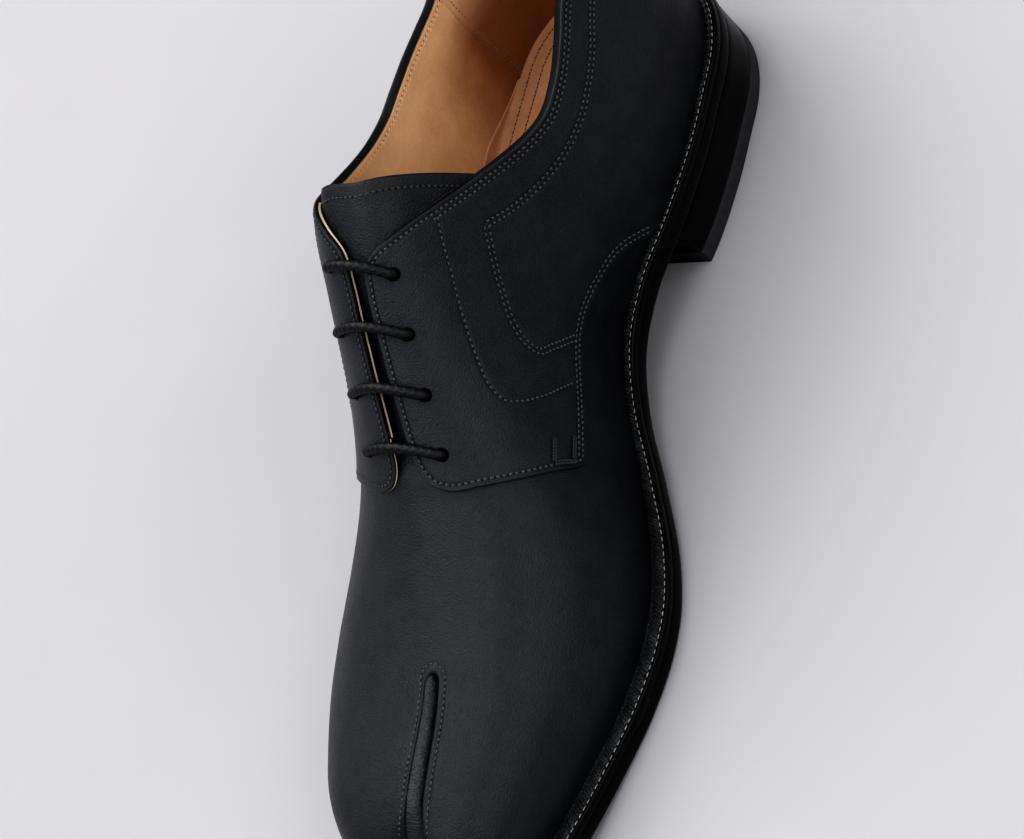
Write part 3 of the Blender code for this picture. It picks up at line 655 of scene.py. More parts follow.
def spline(c, q, n=400, q_scale=100.0):
    """Smooth run through (station, way up) points."""
    c, q = np.asarray(c, float), np.asarray(q, float)
    d = np.concatenate([[0.0], np.cumsum(np.hypot(np.diff(c), np.diff(q) * q_scale) ** 0.8)])
    t = np.linspace(0.0, d[-1], n)
    return curve(d, c)(t), curve(d, q)(t)


def stitches(name, runs, pitch, mat, radius=0.29, fill=0.70, lift=0.12, sink=0.30, slot=None, twist=0.0, hole=0.43):
    """Thread stitches along runs of (points, normals), one joined mesh, with near-black discs of painted shade at the
    needle holes between them.
    """
    rings, sides = 6, 6
    t = np.linspace(-0.5, 0.5, rings)
    a = 2 * np.pi * np.arange(sides) / sides
    thick = np.sqrt(np.maximum(0.12, 1 - (2 * t)**4))
    parts = Parts()
    ring = np.arange(rings * sides).reshape(rings, sides)
    body = quads(np.concatenate([ring, ring[:, :1]], 1))
    disc = np.concatenate([[[0.0, 0.0]], np.stack([np.cos(a), np.sin(a)], 1)])
    fan = np.stack([np.zeros(sides, int), 1 + np.arange(sides), 1 + (np.arange(sides) + 1) % sides], 1)
    for p, n in runs:
        pos, step, at = resample(p, pitch)
        run = np.concatenate([[0.0], np.cumsum(np.linalg.norm(np.diff(p, axis=0), axis=1))])
        ahead = np.stack([np.interp(at + 0.3, run, p[:, k]) - np.interp(at - 0.3, run, p[:, k]) for k in range(3)], 1)
        nn = unit(np.stack([np.interp(at, run, n[:, k]) for k in range(3)], 1))
        tt = unit(ahead - nn * np.sum(ahead * nn, 1, keepdims=True))
        bb = np.cross(nn, tt)
        if twist:
            tt = unit(tt + twist * bb)
            bb = np.cross(nn, tt)
        along = t * step * fill
        h = lift - sink * (2 * t)**2
        local_b = radius * thick[:, None] * np.cos(a)[None, :]
        local_n = h[:, None] + 0.8 * radius * thick[:, None] * np.sin(a)[None, :]
        v = (pos[:, None, None, :] + along[None, :, None, None] * tt[:, None, None, :]
             + local_b[None, :, :, None] * bb[:, None, None, :] + local_n[None, :, :, None] * nn[:, None, None, :])
        m = len(pos)
        ids = parts.add(v.reshape(m, rings * sides, 3))
        parts.put(ids[:, body].reshape(-1, 4), 0)
        # near-black discs at the needle holes: painted shade
        if hole:
            spot = pos[:-1] * 0.5 + pos[1:] * 0.5
            tb, bh, nh = unit(tt[:-1] + tt[1:]), unit(bb[:-1] + bb[1:]), unit(nn[:-1] + nn[1:])
            d = (spot[:, None, :] + hole * 1.25 * disc[None, :, :1] * tb[:, None, :] + hole * disc[None, :, 1:] * bh[:, None, :]
                 + np.where(np.arange(len(disc)) == 0, 0.035, 0.02)[None, :, None] * nh[:, None, :])
            ids = parts.add(d)
            parts.put(ids[:, fan].reshape(-1, 3), 1)
    return parts.make(name, [mat, M['hole']], slot=slot)


def surface_run(side, c, q, h):
    """Run over the last with its normals."""
    n, _, _ = shell_frame(side, c, q)
    return on(side, c, q, h), n


def shifted(side, c, q, amount, h):
    """The same run moved sideways over the last by a distance in mm."""
    p, n = surface_run(side, c, q, h)
    d = np.gradient(p, axis=0)
    b = unit(np.cross(n, d))
    return p + b * amount, n


class Nearest:
    """Distance to a set of points."""

    def __init__(self, points):
        self.tree = kdtree.KDTree(len(points))
        for k, p in enumerate(points):
            self.tree.insert(p, k)
        self.tree.balance()

    def __call__(self, points, reach):
        flat = np.asarray(points, float).reshape(-1, 3)
        out = np.array([self.tree.find(p)[2] for p in flat])
        return np.minimum(out, reach).reshape(np.shape(points)[:-1])


def dense(p, step=0.35):
    return resample(p, step)[0]


def middle(s):
    """A line inside the shoe."""
    s = np.asarray(s, float)
    return np.stack([0 * s, s, 40.0 + 0 * s], -1)


# ------------------------------------------------------------------ quarters
def quarter_top(side, u):
    c = 177.0 * u
    return c, edge_q(side, c)


def quarter_bottom(u):
    c = SEAM['c'][-1] * u
    return c, np.where(c < SEAM['c'][0], 0.0, np.maximum(0.0, curve(SEAM['c'], SEAM['q'])(np.maximum(c, SEAM['c'][0]))))


def quarter_front(side, v):
    c = np.array(FRONT['c'])
    q = np.array([x if x is not None else float(edge_q(side, 177.0)) for x in FRONT['q']])
    d = np.concatenate([[0.0], np.cumsum(np.hypot(np.diff(c), np.diff(q) * 100.0) ** 0.8)])
    return curve(d, c)(v * d[-1]), curve(d, q)(v * d[-1])


def quarter_cq(side, u, v):
    """(station, way up) of a point of the quarter: u from the heel back to the front edge, v from sole to collar."""
    cb, qb = quarter_bottom(u)
    ct, qt = quarter_top(side, u)
    cf, qf = quarter_front(side, np.clip(v, 0.0, 1.0))
    ql = v * float(edge_q(side, 0.0))
    c1, q1 = quarter_bottom(np.ones(1))
    c2, q2 = quarter_top(side, np.ones(1))
    c = (1 - v) * cb + v * ct + u * cf - (u * (1 - v) * c1 + u * v * c2)
    q = (1 - v) * qb + v * qt + (1 - u) * ql + u * qf - (v * (1 - u) * float(edge_q(side, 0.0)) + u * (1 - v) * q1 + u * v * q2)
    return c, q


def eyelet_cq(side):
    """Lace holes; the lateral row sits a little further back."""
    return [(c, LACE_Q) if side > 0 else (c - LACE_BACK, q) for c, q in zip(LACE_S, LACE_LAT_Q)]


def quarter_rows(side):
    """Stitch rows of one quarter: runs of (points, normals)."""
    runs = []
    H = LEATHER
    u = np.linspace(0.0, 1.0, 700)
    c, q = quarter_cq(side, u, np.ones_like(u))
    # two close rows under the collar, one of them going on down the facing
    for inset in (1.7, 3.2):
        p, n = shifted(side, c, q, inset * 1.0, H)
        away = shell(side, c, q * 0.9)
        p2, _ = shifted(side, c, q, -inset, H)
        if np.linalg.norm(p[300] - away[300]) > np.linalg.norm(p2[300] - away[300]):
            p = p2
        keep = (c < 121.0) if inset > 2 else (c < 400.0)
        if inset < 2:
            v = np.linspace(1.0, 0.0, 260)[1:]
            cf, qf = quarter_front(side, v)
            cc, qq = np.concatenate([c, cf]), np.concatenate([q, qf])
            a, na = shifted(side, cc, qq, inset, H)
            b, _ = shifted(side, cc, qq, -inset, H)
            p, n = (a, na) if np.linalg.norm(a[300] - away[300]) < np.linalg.norm(b[300] - away[300]) else (b, na)
            keep = np.ones(len(p), bool)
            keep[-6:] = False
        runs.append((p[keep], n[keep]))
    # two rows along the lower seam
    ub = np.linspace(SEAM['c'][0] / SEAM['c'][-1], 1.0, 400)
    cb, qb = quarter_bottom(ub)
    for inset in (1.75, 3.3):
        a, n = shifted(side, cb, qb, inset, H)
        b, _ = shifted(side, cb, qb, -inset, H)
        p = a if a[200, 2] > b[200, 2] else b
        runs.append((p[8:-4], n[8:-4]))
    rel = lambda row: (np.array(row['c'], float), np.array(row['r'], float) * edge_q(side, np.array(row['c'], float)))
    c, q = spline(*rel(ROW_STAY))
    runs.append(surface_run(side, c, q, H))
    for row in (ROW_PANEL, ROW_COUNTER):
        c, q = spline(*rel(row))
        runs.append(shifted(side, c, q, 0.76, H))
        runs.append(shifted(side, c, q, -0.76, H))
    return runs


def bar_tacks(side):
    """Close zigzag rows that hold the front corner of a quarter: two bars and a foot."""
    rows = []
    for (c0, q0), (c1, q1) in (((166.2, .388), (173.0, .414)), ((162.9, .306), (169.6, .332)), ((173.2, .412), (170.2, .330))):
        cc, qq = np.linspace(c0, c1, 30), np.linspace(q0, q1, 30)
        rows.append(surface_run(side, cc, qq, LEATHER))
    return rows


def quarter(side):
    nu, nv = 330, 150
    # lines close to the edges carry the rounding of the cut edge
    near = np.array([0.0, 0.04, 0.11, 0.21, 0.34, 0.58, 0.9])
    L_u = 200.0
    u = np.concatenate([np.linspace(0.0, 1.0 - 1.6 / L_u, nu), 1.0 - near[::-1] / L_u])
    probe = np.linspace(0, 1, 40)
    cols = []
    for uu in u:
        c, q = quarter_cq(side, np.full(40, uu), probe)
        cols.append(np.sum(np.linalg.norm(np.diff(shell(side, c, q), axis=0), axis=1)))
    length = np.array(cols)
    low = near[None, :] / length[:, None]
    high = 1.0 - near[::-1][None, :] / length[:, None]
    mid = np.linspace(0.0, 1.0, nv)[None, :] * (high[:, :1] - low[:, -1:] - 2 * 0.5 / length[:, None]) + low[:, -1:] + 0.5 / length[:, None]
    v = np.concatenate([low, mid, high], 1)
    U = np.repeat(u[:, None], v.shape[1], 1)
    C, Q = quarter_cq(side, U, v)

    def round_off(d, r):
        return np.where(d < r, r - np.sqrt(np.maximum(0.0, r**2 - (r - np.minimum(d, r))**2)), 0.0)

    seam_on = smooth((C[:, :1] - 86.0) / 6.0)          # behind the seam the quarter runs down to the welt
    drop = np.maximum(round_off(v * length[:, None], CUT_R) * seam_on, round_off((1 - v) * length[:, None], EDGE_R))
    drop = np.maximum(drop, round_off((1 - U) * L_u, CUT_R))
    H = LEATHER - drop
    base, (N, DC, DQ) = shell(side, C, Q), shell_frame(side, C, Q)
    # thread lies in a shallow channel, leather swells a little between the rows
    rows = quarter_rows(side)
    near_row = Nearest(np.concatenate([dense(p, 0.4) for p, _ in rows]))
    d = near_row(base + N * LEATHER, 4.0)
    H = H - 0.24 * np.exp(-(d / 0.5)**2) + 0.03 * np.exp(-((d - 1.3) / 0.7)**2)
    d = Nearest(np.concatenate([dense(p, 0.4) for p, _ in bar_tacks(side)]))(base + N * LEATHER, 4.0)
    H = H - 0.20 * np.exp(-(d / 1.15)**4)
    P = base + N * H[..., None]
    parts = Parts()
    ids = parts.add(P)
    nr, nc = ids.shape
    cut = np.zeros((nr - 1, nc - 1), bool)
    # lace holes: a block of the grid is taken out and a dished ring put in; the bore and its floor take the near-black
    # hole material as painted shade
    for ec, eq in eyelet_cq(side):
        centre = on(side, ec, eq, LEATHER)
        i, j = np.unravel_index(np.argmin(np.sum((P - centre)**2, -1)), P.shape[:2])
        reach = 3.4
        i0, i1, j0, j1 = i, i, j, j
        while np.linalg.norm(P[i0, j] - P[i, j]) < reach: i0 -= 1
        while np.linalg.norm(P[i1, j] - P[i, j]) < reach: i1 += 1
        while np.linalg.norm(P[i, j0] - P[i, j]) < reach: j0 -= 1
        while np.linalg.norm(P[i, j1] - P[i, j]) < reach: j1 += 1
        cut[i0:i1, j0:j1] = True
        border = ([(a, j0) for a in range(i0, i1)] + [(i1, b) for b in range(j0, j1)]
                  + [(a, j1) for a in range(i1, i0, -1)] + [(i0, b) for b in range(j1, j0, -1)])
        bi, bj = np.array(border).T
        dc, dq = C[bi, bj] - ec, Q[bi, bj] - eq
        n0, c1, q1 = shell_frame(side, np.array(ec), np.array(eq))
        flat = dc[:, None] * c1 + dq[:, None] * q1
        e1 = unit(c1)
        e2 = np.cross(n0, e1)
        ang = np.arctan2(flat @ e2, flat @ e1)
        J = np.linalg.inv(np.array([[c1 @ e1, q1 @ e1], [c1 @ e2, q1 @ e2]]))
        loops = [ids[bi, bj]]
        for w, r, h in ((0.35, None, 0.0), (0.7, None, 0.0), (1.0, HOLE_R + 0.75, 0.04), (1.0, HOLE_R + 0.4, 0.06),
                        (1.0, HOLE_R + 0.15, 0.0), (1.0, HOLE_R, -0.22), (1.0, HOLE_R - 0.12, -0.7), (1.0, HOLE_R - 0.15, -2.6)):
            rr = HOLE_R + 0.75 if r is None else r
            circle = J @ np.stack([rr * np.cos(ang), rr * np.sin(ang)])
            cc = ec + (1 - w) * dc + w * circle[0]
            qq = eq + (1 - w) * dq + w * circle[1]
            loops.append(parts.add(on(side, cc, qq, LEATHER + h)))
        bottom_id = parts.add(on(side, np.array([ec]), np.array([eq]), LEATHER - 2.6))
        for a, b, m in zip(loops[:-1], loops[1:], (0, 0, 0, 0, 0, 0, 2, 2)):
            a, b = np.append(a, a[:1]), np.append(b, b[:1])
            parts.fill(np.stack([a, b]), m)
        lastloop = np.append(loops[-1], loops[-1][:1])
        parts.put(np.stack([lastloop[:-1], lastloop[1:], np.repeat(bottom_id, len(lastloop) - 1)], 1), 2)
    whole = quads(ids).reshape(nr - 1, nc - 1, 4)
    parts.put(whole[~cut], 0)

    # edge walls: collar and facing go down to the lining, the seam and the front edge to the vamp
    edge_len = length
    dcv = (C[:, -1] - C[:, -3]) / ((v[:, -1] - v[:, -3]) * edge_len)
    dqv = (Q[:, -1] - Q[:, -3]) / ((v[:, -1] - v[:, -3]) * edge_len)
    lows = (LEATHER - EDGE_R - 0.10, 0.12, -0.10, -0.80, -1.4, -1.95)
    out = (0.08, 0.14, 0.10, 0.10, -0.05, -0.25)
    before = ids[:, -1]
    for k, (h, b) in enumerate(zip(lows, out)):
        now = parts.add(on(side, C[:, -1] + dcv * b, Q[:, -1] + dqv * b, h))
        face = quads(np.stack([before, now]))
        facing = (C[:-1, -1] > SLOT_TOP - 20) & (side < 0)
        parts.put(face[~facing], 1)
        parts.put(face[facing], 3 if k == 3 else 1)
        before = now
    # front edge
    before = ids[-1, :]
    for h, m in ((LEATHER - CUT_R - 0.10, 4), (0.62, 1), (0.16, 3 if side < 0 else 4), (-0.25, 1)):
        now = parts.add(on(side, C[-1, :], Q[-1, :], h))
        parts.put(quads(np.stack([before, now])), m)
        before = now
    # lower seam
    keep = C[:, 0] > 85.0
    before = ids[keep, 0]
    for h in (LEATHER - CUT_R - 0.12, 0.2, -0.25):
        now = parts.add(on(side, C[keep, 0], Q[keep, 0], h))
        parts.put(quads(np.stack([before, now])), 4)
        before = now
    # the foot of the rear part tucks into the welt
    foot = ~keep
    foot[np.argmax(keep)] = True
    below = P[foot, 0] + np.array([0.0, 0.0, -0.9])
    parts.fill(np.stack([ids[foot, 0], parts.add(below)]), 0)
    label = "medial" if side > 0 else "lateral"
    # the cut material on the front edge and the lower seam is lighter grey as painted highlight
    obj = parts.make("quarter_" + label, [M['calf'], M['edge'], M['hole'], M['raw'], M['cut']], slot="upper", inside=middle(np.array([90.0]))[0])
    # the lateral quarter's rows take the darker thread copy as painted shade
    stitches("quarter_stitches_" + label, [(p - n * 0.14, n) for p, n in rows], STITCH, M['thread' if side > 0 else 'thread_painted_shade'], radius=0.33, slot="upper")
    across = []
    for p, n in bar_tacks(side):
        pos, _, at = resample(p, 0.46)
        tt = unit(np.gradient(pos, axis=0))
        bb = np.cross(n[0], tt)
        for k, (a, b, w) in enumerate(zip(pos, bb, tt)):
            lean = 0.16 * (1 if k % 2 else -1)
            ends = np.linspace(-0.75, 0.75, 5)[:, None]
            across.append((a + ends * (b + lean * w) - n[0] * 0.10, np.repeat(n[:1], 5, 0)))
    stitches("bar_tacks_" + label, across, 1.5, M['thread_dark'], radius=0.27, fill=1.0, lift=0.30, sink=0.20, slot="upper", hole=0.0)
    return obj


quarters = {side: quarter(side) for side in (1, -1)}


# ------------------------------------------------------------------ vamp with its two lobes
def vamp_top(c):
    """How far up the vamp reaches under the quarters."""
    order = np.argsort(FRONT['c'][:6])
    front = curve(np.array(FRONT['c'][:6])[order], np.array([float(x) for x in FRONT['q'][:6]])[order])
    c = np.asarray(c, float)
    low = np.where(c < SEAM['c'][-1], np.maximum(0.0, curve(SEAM['c'], SEAM['q'])(np.maximum(c, SEAM['c'][0]))), front(np.minimum(c, 188.6)))
    reach = low + 0.10
    k = smooth((c - 172.0) / 8.0)
    return np.minimum(1.0, reach + (1.0 - reach) * k)


def lobe_top(side, s, wall):
    lobe = LOBES[name_of(side)]
    tip = lobe['tip_s'] - margin(s) - wall
    zf = feather_z(s)
    return zf + (last['ridge_z'](s) - wall - zf) * tip_round(s, TOP_S, tip, TOP_N)


U_TURN = np.linspace(0, 90, 13)[1:]
LOBE_V = np.linspace(0, 1, 64)[1:-1]


def lobe_steps(side, wall):
    lobe = LOBES[name_of(side)]
    cx, tip = last['ridge_x'], float(lobe['tip_s'] - margin(lobe['tip_s']) - wall)
    plain = CLEFT_HALF + wall
    rim, more = (ROLL_R, ROLL_GROW) if wall == 0.0 else (max(RIM_R - wall, 0.3), RIM_GROW)
    tuck, rim_end = (TUCK, TUCK_R) if wall == 0.0 and side < 0 else (0.0, rim)
    end = CLEFT_S + RIM_R - wall
    out = []
    for t in U_TURN:
        a = math.radians(t)
        k = math.sin(a)**2
        half, r = plain + tuck * k, rim + (rim_end - rim) * k
        s_rim = end - r + (half + r) * (1 - math.cos(a))
        s_wall = end + half * (1 - math.cos(a))
        out.append((s_rim, (float(cx(s_rim)) + side * (half + r) * math.sin(a), s_rim),
                    (float(cx(s_wall)) + side * half * math.sin(a), s_wall), r, r))
    start = out[-1][0]
    for v in LOBE_V:
        s = start + (tip - start) * math.sin(v * math.pi / 2)
        xw, xo = float(cleft_x(side, s, wall + tuck, margin(s) + wall)), float(edge_x(side, s, margin(s) + wall))
        late = max(0.0, (s - RIM_TIP_S) / (tip - RIM_TIP_S))
        grow = rim_end + (0.0 if tuck else more) * (s - start) + RIM_TIP * late**2
        rh = min(grow, 0.45 * abs(xo - xw))
        rv = min(grow * 1.2, 0.6 * float(lobe_top(side, s, wall) - feather_z(s)))
        out.append((s, (xw + side * rh, s), (xw, s), rh, rv))
    return out, (lobe['tip_x'], tip)


def lobe_row(side, step, wall, nq, nf, nw):
    s, rim, inner, rh, rv = step
    lobe = LOBES[name_of(side)]
    zf, zt = float(feather_z(s)), float(lobe_top(side, s, wall))
    xo = float(edge_x(side, s, margin(s) + wall))
    lean = float(last['out_m' if side > 0 else 'out_l'](s) * tip_round(s, lobe['round_s'], lobe['tip_s'] - margin(s) - wall, 2))
    own = float(smooth((s - CLEFT_S) / LOBE_OWN))
    mid_x = float(last['ridge_x'](s))
    top_x = mid_x + (rim[0] - mid_x) * own
    crown = float(last['crown_m' if side > 0 else 'crown_l'](s))
    p = np.array([[xo, zf], [xo + side * lean, zf + float(last['rise'](s)) * (zt - zf)],
                  [top_x + crown * (xo - top_x), zt], [top_x, zt]])
    bez = lambda q: ((1 - q)**3)[:, None] * p[0] + (3 * (1 - q)**2 * q)[:, None] * p[1] + (3 * (1 - q) * q**2)[:, None] * p[2] + (q**3)[:, None] * p[3]
    lo, hi = 0.5, 1.0
    for _ in range(40):
        m = 0.5 * (lo + hi)
        lo, hi = (m, hi) if side * (bez(np.array([m]))[0, 0] - rim[0]) > 0 else (lo, m)
    xz = bez(lo * np.linspace(0, 1, nq + 1))
    row = np.stack([xz[:, 0], np.full(nq + 1, s), xz[:, 1]], 1)
    zt = xz[-1, 1]
    a = np.pi / 2 * np.arange(1, nf + 1) / nf
    f, d = np.sin(a), 1 - np.cos(a)
    bend = np.stack([rim[0] + (inner[0] - rim[0]) * f, rim[1] + (inner[1] - rim[1]) * f, zt - rv * d], 1)
    foot = float(feather_z(inner[1]))
    deep = steps_down(zt - rv - foot, nw)
    fold = gusset_fold(inner, nw) if wall == 0.0 and side < 0 else 0.0
    side_wall = np.stack([inner[0] + fold + 0 * deep, np.full(nw, inner[1]), zt - rv - deep], 1)
    return np.concatenate([row, bend, side_wall])


FOLD_N, FOLD_DEPTH = 11, 3.6


def steps_down(total, n):
    """Depths down a cleft wall: close together over the fold, then on to the foot."""
    if n <= FOLD_N:
        return total * np.arange(1, n + 1) / n
    d = min(FOLD_DEPTH, 0.45 * total)
    a = np.pi / 2 * np.arange(1, FOLD_N + 1) / FOLD_N
    return np.concatenate([d * (1 - np.cos(a)), d + (total - d) * np.arange(1, n - FOLD_N + 1) / (n - FOLD_N)])


def gusset_fold(inner, n):
    """How far the leather between the lobes rounds over from the lateral one towards the medial one."""
    x, s = inner
    reach = max(0.0, float(cleft_x(1, s, 0.0, margin(s))) - x - 1.6)
    ends = float(smooth((287.0 - s) / 14.0))
    a = np.pi / 2 * np.minimum(1.0, np.arange(1, n + 1) / FOLD_N)
    return reach * ends * np.sin(a)


NQ, NF, NW = 104, 14, 15


def cleft_line(side, inset, n=240):
    """Plan run of the cleft's edge moved into the lobe: rear end to the toe."""
    lobe = LOBES[name_of(side)]
    w = CLEFT_HALF + inset
    end = CLEFT_S + RIM_R - inset
    a = np.linspace(0, np.pi / 2, 40)
    s = np.concatenate([end + w * (1 - np.cos(a)), np.linspace(end + w, lobe['tip_s'] - 14.0, n)[1:]])
    return cleft_x(side, s, inset, margin(s)), s


def make_vamp():
    parts = Parts()
    folds = []
    rim, end = ROLL_R, CLEFT_S + RIM_R
    s0 = end - rim
    cs = np.concatenate([np.linspace(88.0, 168.0, 110), np.linspace(168.6, s0, 118)])
    rows = {}
    for side in (1, -1):
        q = np.linspace(0.0, 1.0, NQ + 1)[None, :] * vamp_top(cs)[:, None]
        C = np.repeat(cs[:, None], NQ + 1, 1)
        # the middle runs down into the tongue behind the facings
        h = -2.7 * smooth((187.5 - C) / 9.0) * smooth((q - 0.80) / 0.10)
        rows[side] = on(side, C, q, h)
        rows[side][:, 0, 2] -= 0.8
    ids = {1: parts.add(rows[1]), -1: parts.add(rows[-1])}
    # one ridge line where both sides meet
    meet = cs > 180.0
    ids[-1][meet, -1] = ids[1][meet, -1]
    z0, x0 = float(last['ridge_z'](s0)), float(last['ridge_x'](s0))
    a = np.pi / 2 * np.arange(1, NF + 1) / NF
    line = np.stack([np.full(NF, x0), end - rim + rim * np.sin(a), z0 - rim * (1 - np.cos(a))], 1)
    foot = float(feather_z(end))
    deep = steps_down(z0 - rim - foot, NW)
    line = np.concatenate([line, np.stack([np.full(NW, x0), np.full(NW, end), z0 - rim - deep], 1)])
    line_ids = parts.add(line)
    for side in (1, -1):
        parts.fill(ids[side], 0)
        steps, tip = lobe_steps(side, 0.0)
        grid = np.stack([lobe_row(side, st, 0.0, NQ, NF, NW) for st in steps])
        grid[:, 0, 2] -= 0.8
        g = parts.add(grid)
        first = np.concatenate([ids[side][-1], line_ids])
        g = np.concatenate([first[None], g])
        parts.fill(g[:, :NQ + NF], 0)
        parts.fill(g[:, NQ + NF - 1:], 1)
        folds.append(g[:, NQ + NF + 1:].ravel())
        tip_id = parts.add(np.array([[tip[0], tip[1], float(feather_z(tip[1])) - 0.5]]))
        lastrow = g[-1]
        parts.put(np.stack([lastrow[:-1], lastrow[1:], np.repeat(tip_id, len(lastrow) - 1)], 1), 0)
    obj = parts.make("vamp", [M['calf'], M['gusset']], slot="upper", inside=np.array([0.0, 215.0, 20.0]))
    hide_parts("upper")
    return obj, np.unique(np.concatenate(folds))


def bend_vamp(obj, still):
    """Soft shaping of the vamp along its own normals: cleft rims, thread channels, gentle creases."""
    mesh = obj.data
    n = len(mesh.vertices)
    co, no = np.zeros(n * 3), np.zeros(n * 3)
    mesh.vertices.foreach_get("co", co)
    mesh.vertices.foreach_get("normal", no)
    co, no = co.reshape(-1, 3) * 1000.0, no.reshape(-1, 3)
    x, s, z = co[:, 0] + X_MID, LENGTH / 2 - co[:, 1], co[:, 2]
    h = np.zeros(n)
    # rolled rim along the cleft: distance in plan from the cleft's wall
    fore = s > CLEFT_S - 9.0
    d = np.full(n, 99.0)
    for side in (1, -1):
        cx_, cs_ = cleft_line(side, 0.0, 500)
        tree = Nearest(np.stack([cx_, cs_, 0 * cx_], 1))
        pick = fore & (side * (x - last['ridge_x'](s)) >= -0.01)
        d[pick] = tree(np.stack([x[pick], s[pick], 0 * x[pick]], 1), 30.0)
    top = smooth((no[:, 2] - 0.05) / 0.5)
    fade = smooth((283.0 - s) / 14.0)
    roll = 0.26 * np.exp(-((d - 1.1) / 0.9)**2) - 0.26 * np.exp(-((d - 2.5) / 0.5)**2) + 0.04 * np.exp(-((d - 3.8) / 0.9)**2)
    h += np.where(fore, roll * top * fade, 0.0)
    h[still] = 0.0
    # slight swell of the leather in front of the facings
    h += 0.12 * np.exp(-((s - 197.0) / 7.0)**2) * smooth((z - 40.0) / 15.0)
    # two faint flex lines across the vamp where the toes bend
    for s0, amount in ((206.0, -0.04), (214.5, -0.03)):
        bow = s0 + 0.004 * (x - 4.0)**2 * 0.6 + 1.2 * np.sin(x * 0.11)
        h += amount * np.exp(-((s - bow) / 2.6)**2) * smooth((z - 24.0) / 10.0)
    mesh.vertices.foreach_set("co", ((co + no * h[:, None]) / 1000.0).ravel())
    mesh.update()


vamp, cleft_inside = make_vamp()
bend_vamp(vamp, cleft_inside)


def cleft_stitches():
    """Rows along the rims, laid on the finished vamp."""
    bpy.context.view_layer.update()
    mesh = vamp.data
    from mathutils.bvhtree import BVHTree
    bm = bmesh.new()
    bm.from_mesh(mesh)
    tree = BVHTree.FromBMesh(bm)
    runs = []
    for side in (1, -1):
        xs, ss = cleft_line(side, 2.5, 300)
        keep = ss < 281.0
        pts, nrm = [], []
        for a, b in zip(xs[keep], ss[keep]):
            start = Vector(to_row(np.array([a, b, 90.0])))
            hit, normal, _, _ = tree.ray_cast(start, Vector((0, 0, -1)))
            if hit is None:
                continue
            pts.append(((hit.x * 1000 + X_MID), LENGTH / 2 - hit.y * 1000, hit.z * 1000))
            nrm.append((normal.x, -normal.y, normal.z))
        runs.append((np.array(pts), np.array(nrm)))
    bm.free()
    return stitches("cleft_stitches", runs, 1.7, M['thread_cleft'], radius=0.27, lift=0.12, slot="upper", hole=0.44)


cleft_stitches()


# ------------------------------------------------------------------ lining, heel grip, sock
def make_lining():
    parts = Parts()
    cs = np.concatenate([np.linspace(0.0, 40.0, 50), np.linspace(41.0, 186.0, 180)])
    runs = []
    for side in (1, -1):
        qe = edge_q(side, cs)
        r = np.concatenate([np.linspace(0.0, 0.97, 60), [0.982, 0.991, 0.996, 0.999]])
        C = np.repeat(cs[:, None], len(r), 1)
        # towards the bottom of the slot the lining stops short of the edge
        back = np.clip((cs - 170.0) / 10.0, 0.0, 1.0)
        Q = r[None, :] * (qe * (1.0 - 0.075 * back))[:, None]
        h = np.full_like(Q, -2.05)
        h[:, -1] = -1.75
        h[:, -2] = -1.9
        h[:, -12:] -= 0.5 * back[:, None]
        p = on(side, C, Q, h)
        p[:, 0, 2] += 0.0
        parts.grid(p, 0)
        cc = np.linspace(0.0, 138.0, 500)
        row = on(side, cc, edge_q(side, cc), -2.02)
        n, _, _ = shell_frame(side, cc, edge_q(side, cc))
        down = unit(shell(side, cc, edge_q(side, cc) - 0.02) - shell(side, cc, edge_q(side, cc)))
        runs.append((row + down * 2.2, -n))
        runs.append((row + down * 3.4, -n))
    obj = parts.make("lining", [M['lining']], slot="insole")
    stitches("lining_stitches", runs, STITCH, M['thread_tan'], radius=0.20, lift=0.08, slot="insole")
    return obj


def make_fore_lining():
    parts = Parts()
    cs = np.linspace(186.0, CLEFT_S - 2.2, 50)
    for side in (1, -1):
        q = np.linspace(0.0, 1.0, 41)
        parts.grid(on(side, np.repeat(cs[:, None], 41, 1), np.repeat(q[None, :], len(cs), 0), -2.05), 0)
        steps, tip = lobe_steps(side, WALL)
        grid = np.stack([lobe_row(side, st, WALL, 40, 4, 4) for st in steps[::2]])
        parts.grid(grid, 0)
    return parts.make("fore_lining", [M['lining']], slot="insole")


def make_counter():
    """Heel grip: a suede piece inside the heel with a sewn front edge."""
    parts = Parts()
    runs = []
    front = 39.0
    for side in (1, -1):
        r = np.concatenate([np.linspace(0.0, 0.94, 40), [0.955, 0.965]])
        cs = np.concatenate([np.linspace(0.0, front - 0.8, 48), [front - 0.4, front - 0.12, front]])
        C = np.repeat(cs[:, None], len(r), 1)
        Q = r[None, :] * edge_q(side, cs)[:, None]
        h = -2.05 - 0.75 * np.sqrt(smooth((front - C) / 0.8)) * smooth((0.966 - r[None, :]) / 0.02)
        parts.grid(on(side, C, Q, h), 0)
        cc, rr = np.full(200, front - 1.7), np.linspace(0.05, 0.95, 200)
        qq = rr * edge_q(side, cc)
        n, _, _ = shell_frame(side, cc, qq)
        runs.append((on(side, cc, qq, -2.75), -n))
    parts.make("heel_grip", [M['counter']], slot="insole")
    stitches("heel_grip_stitches", runs, STITCH, M['thread_sock'], radius=0.24, slot="insole")


def sole_row(s, inset):
    """Half widths across at a station ahead of or behind the heel centre."""
    return edge_x(-1, s, inset), edge_x(1, s, inset)


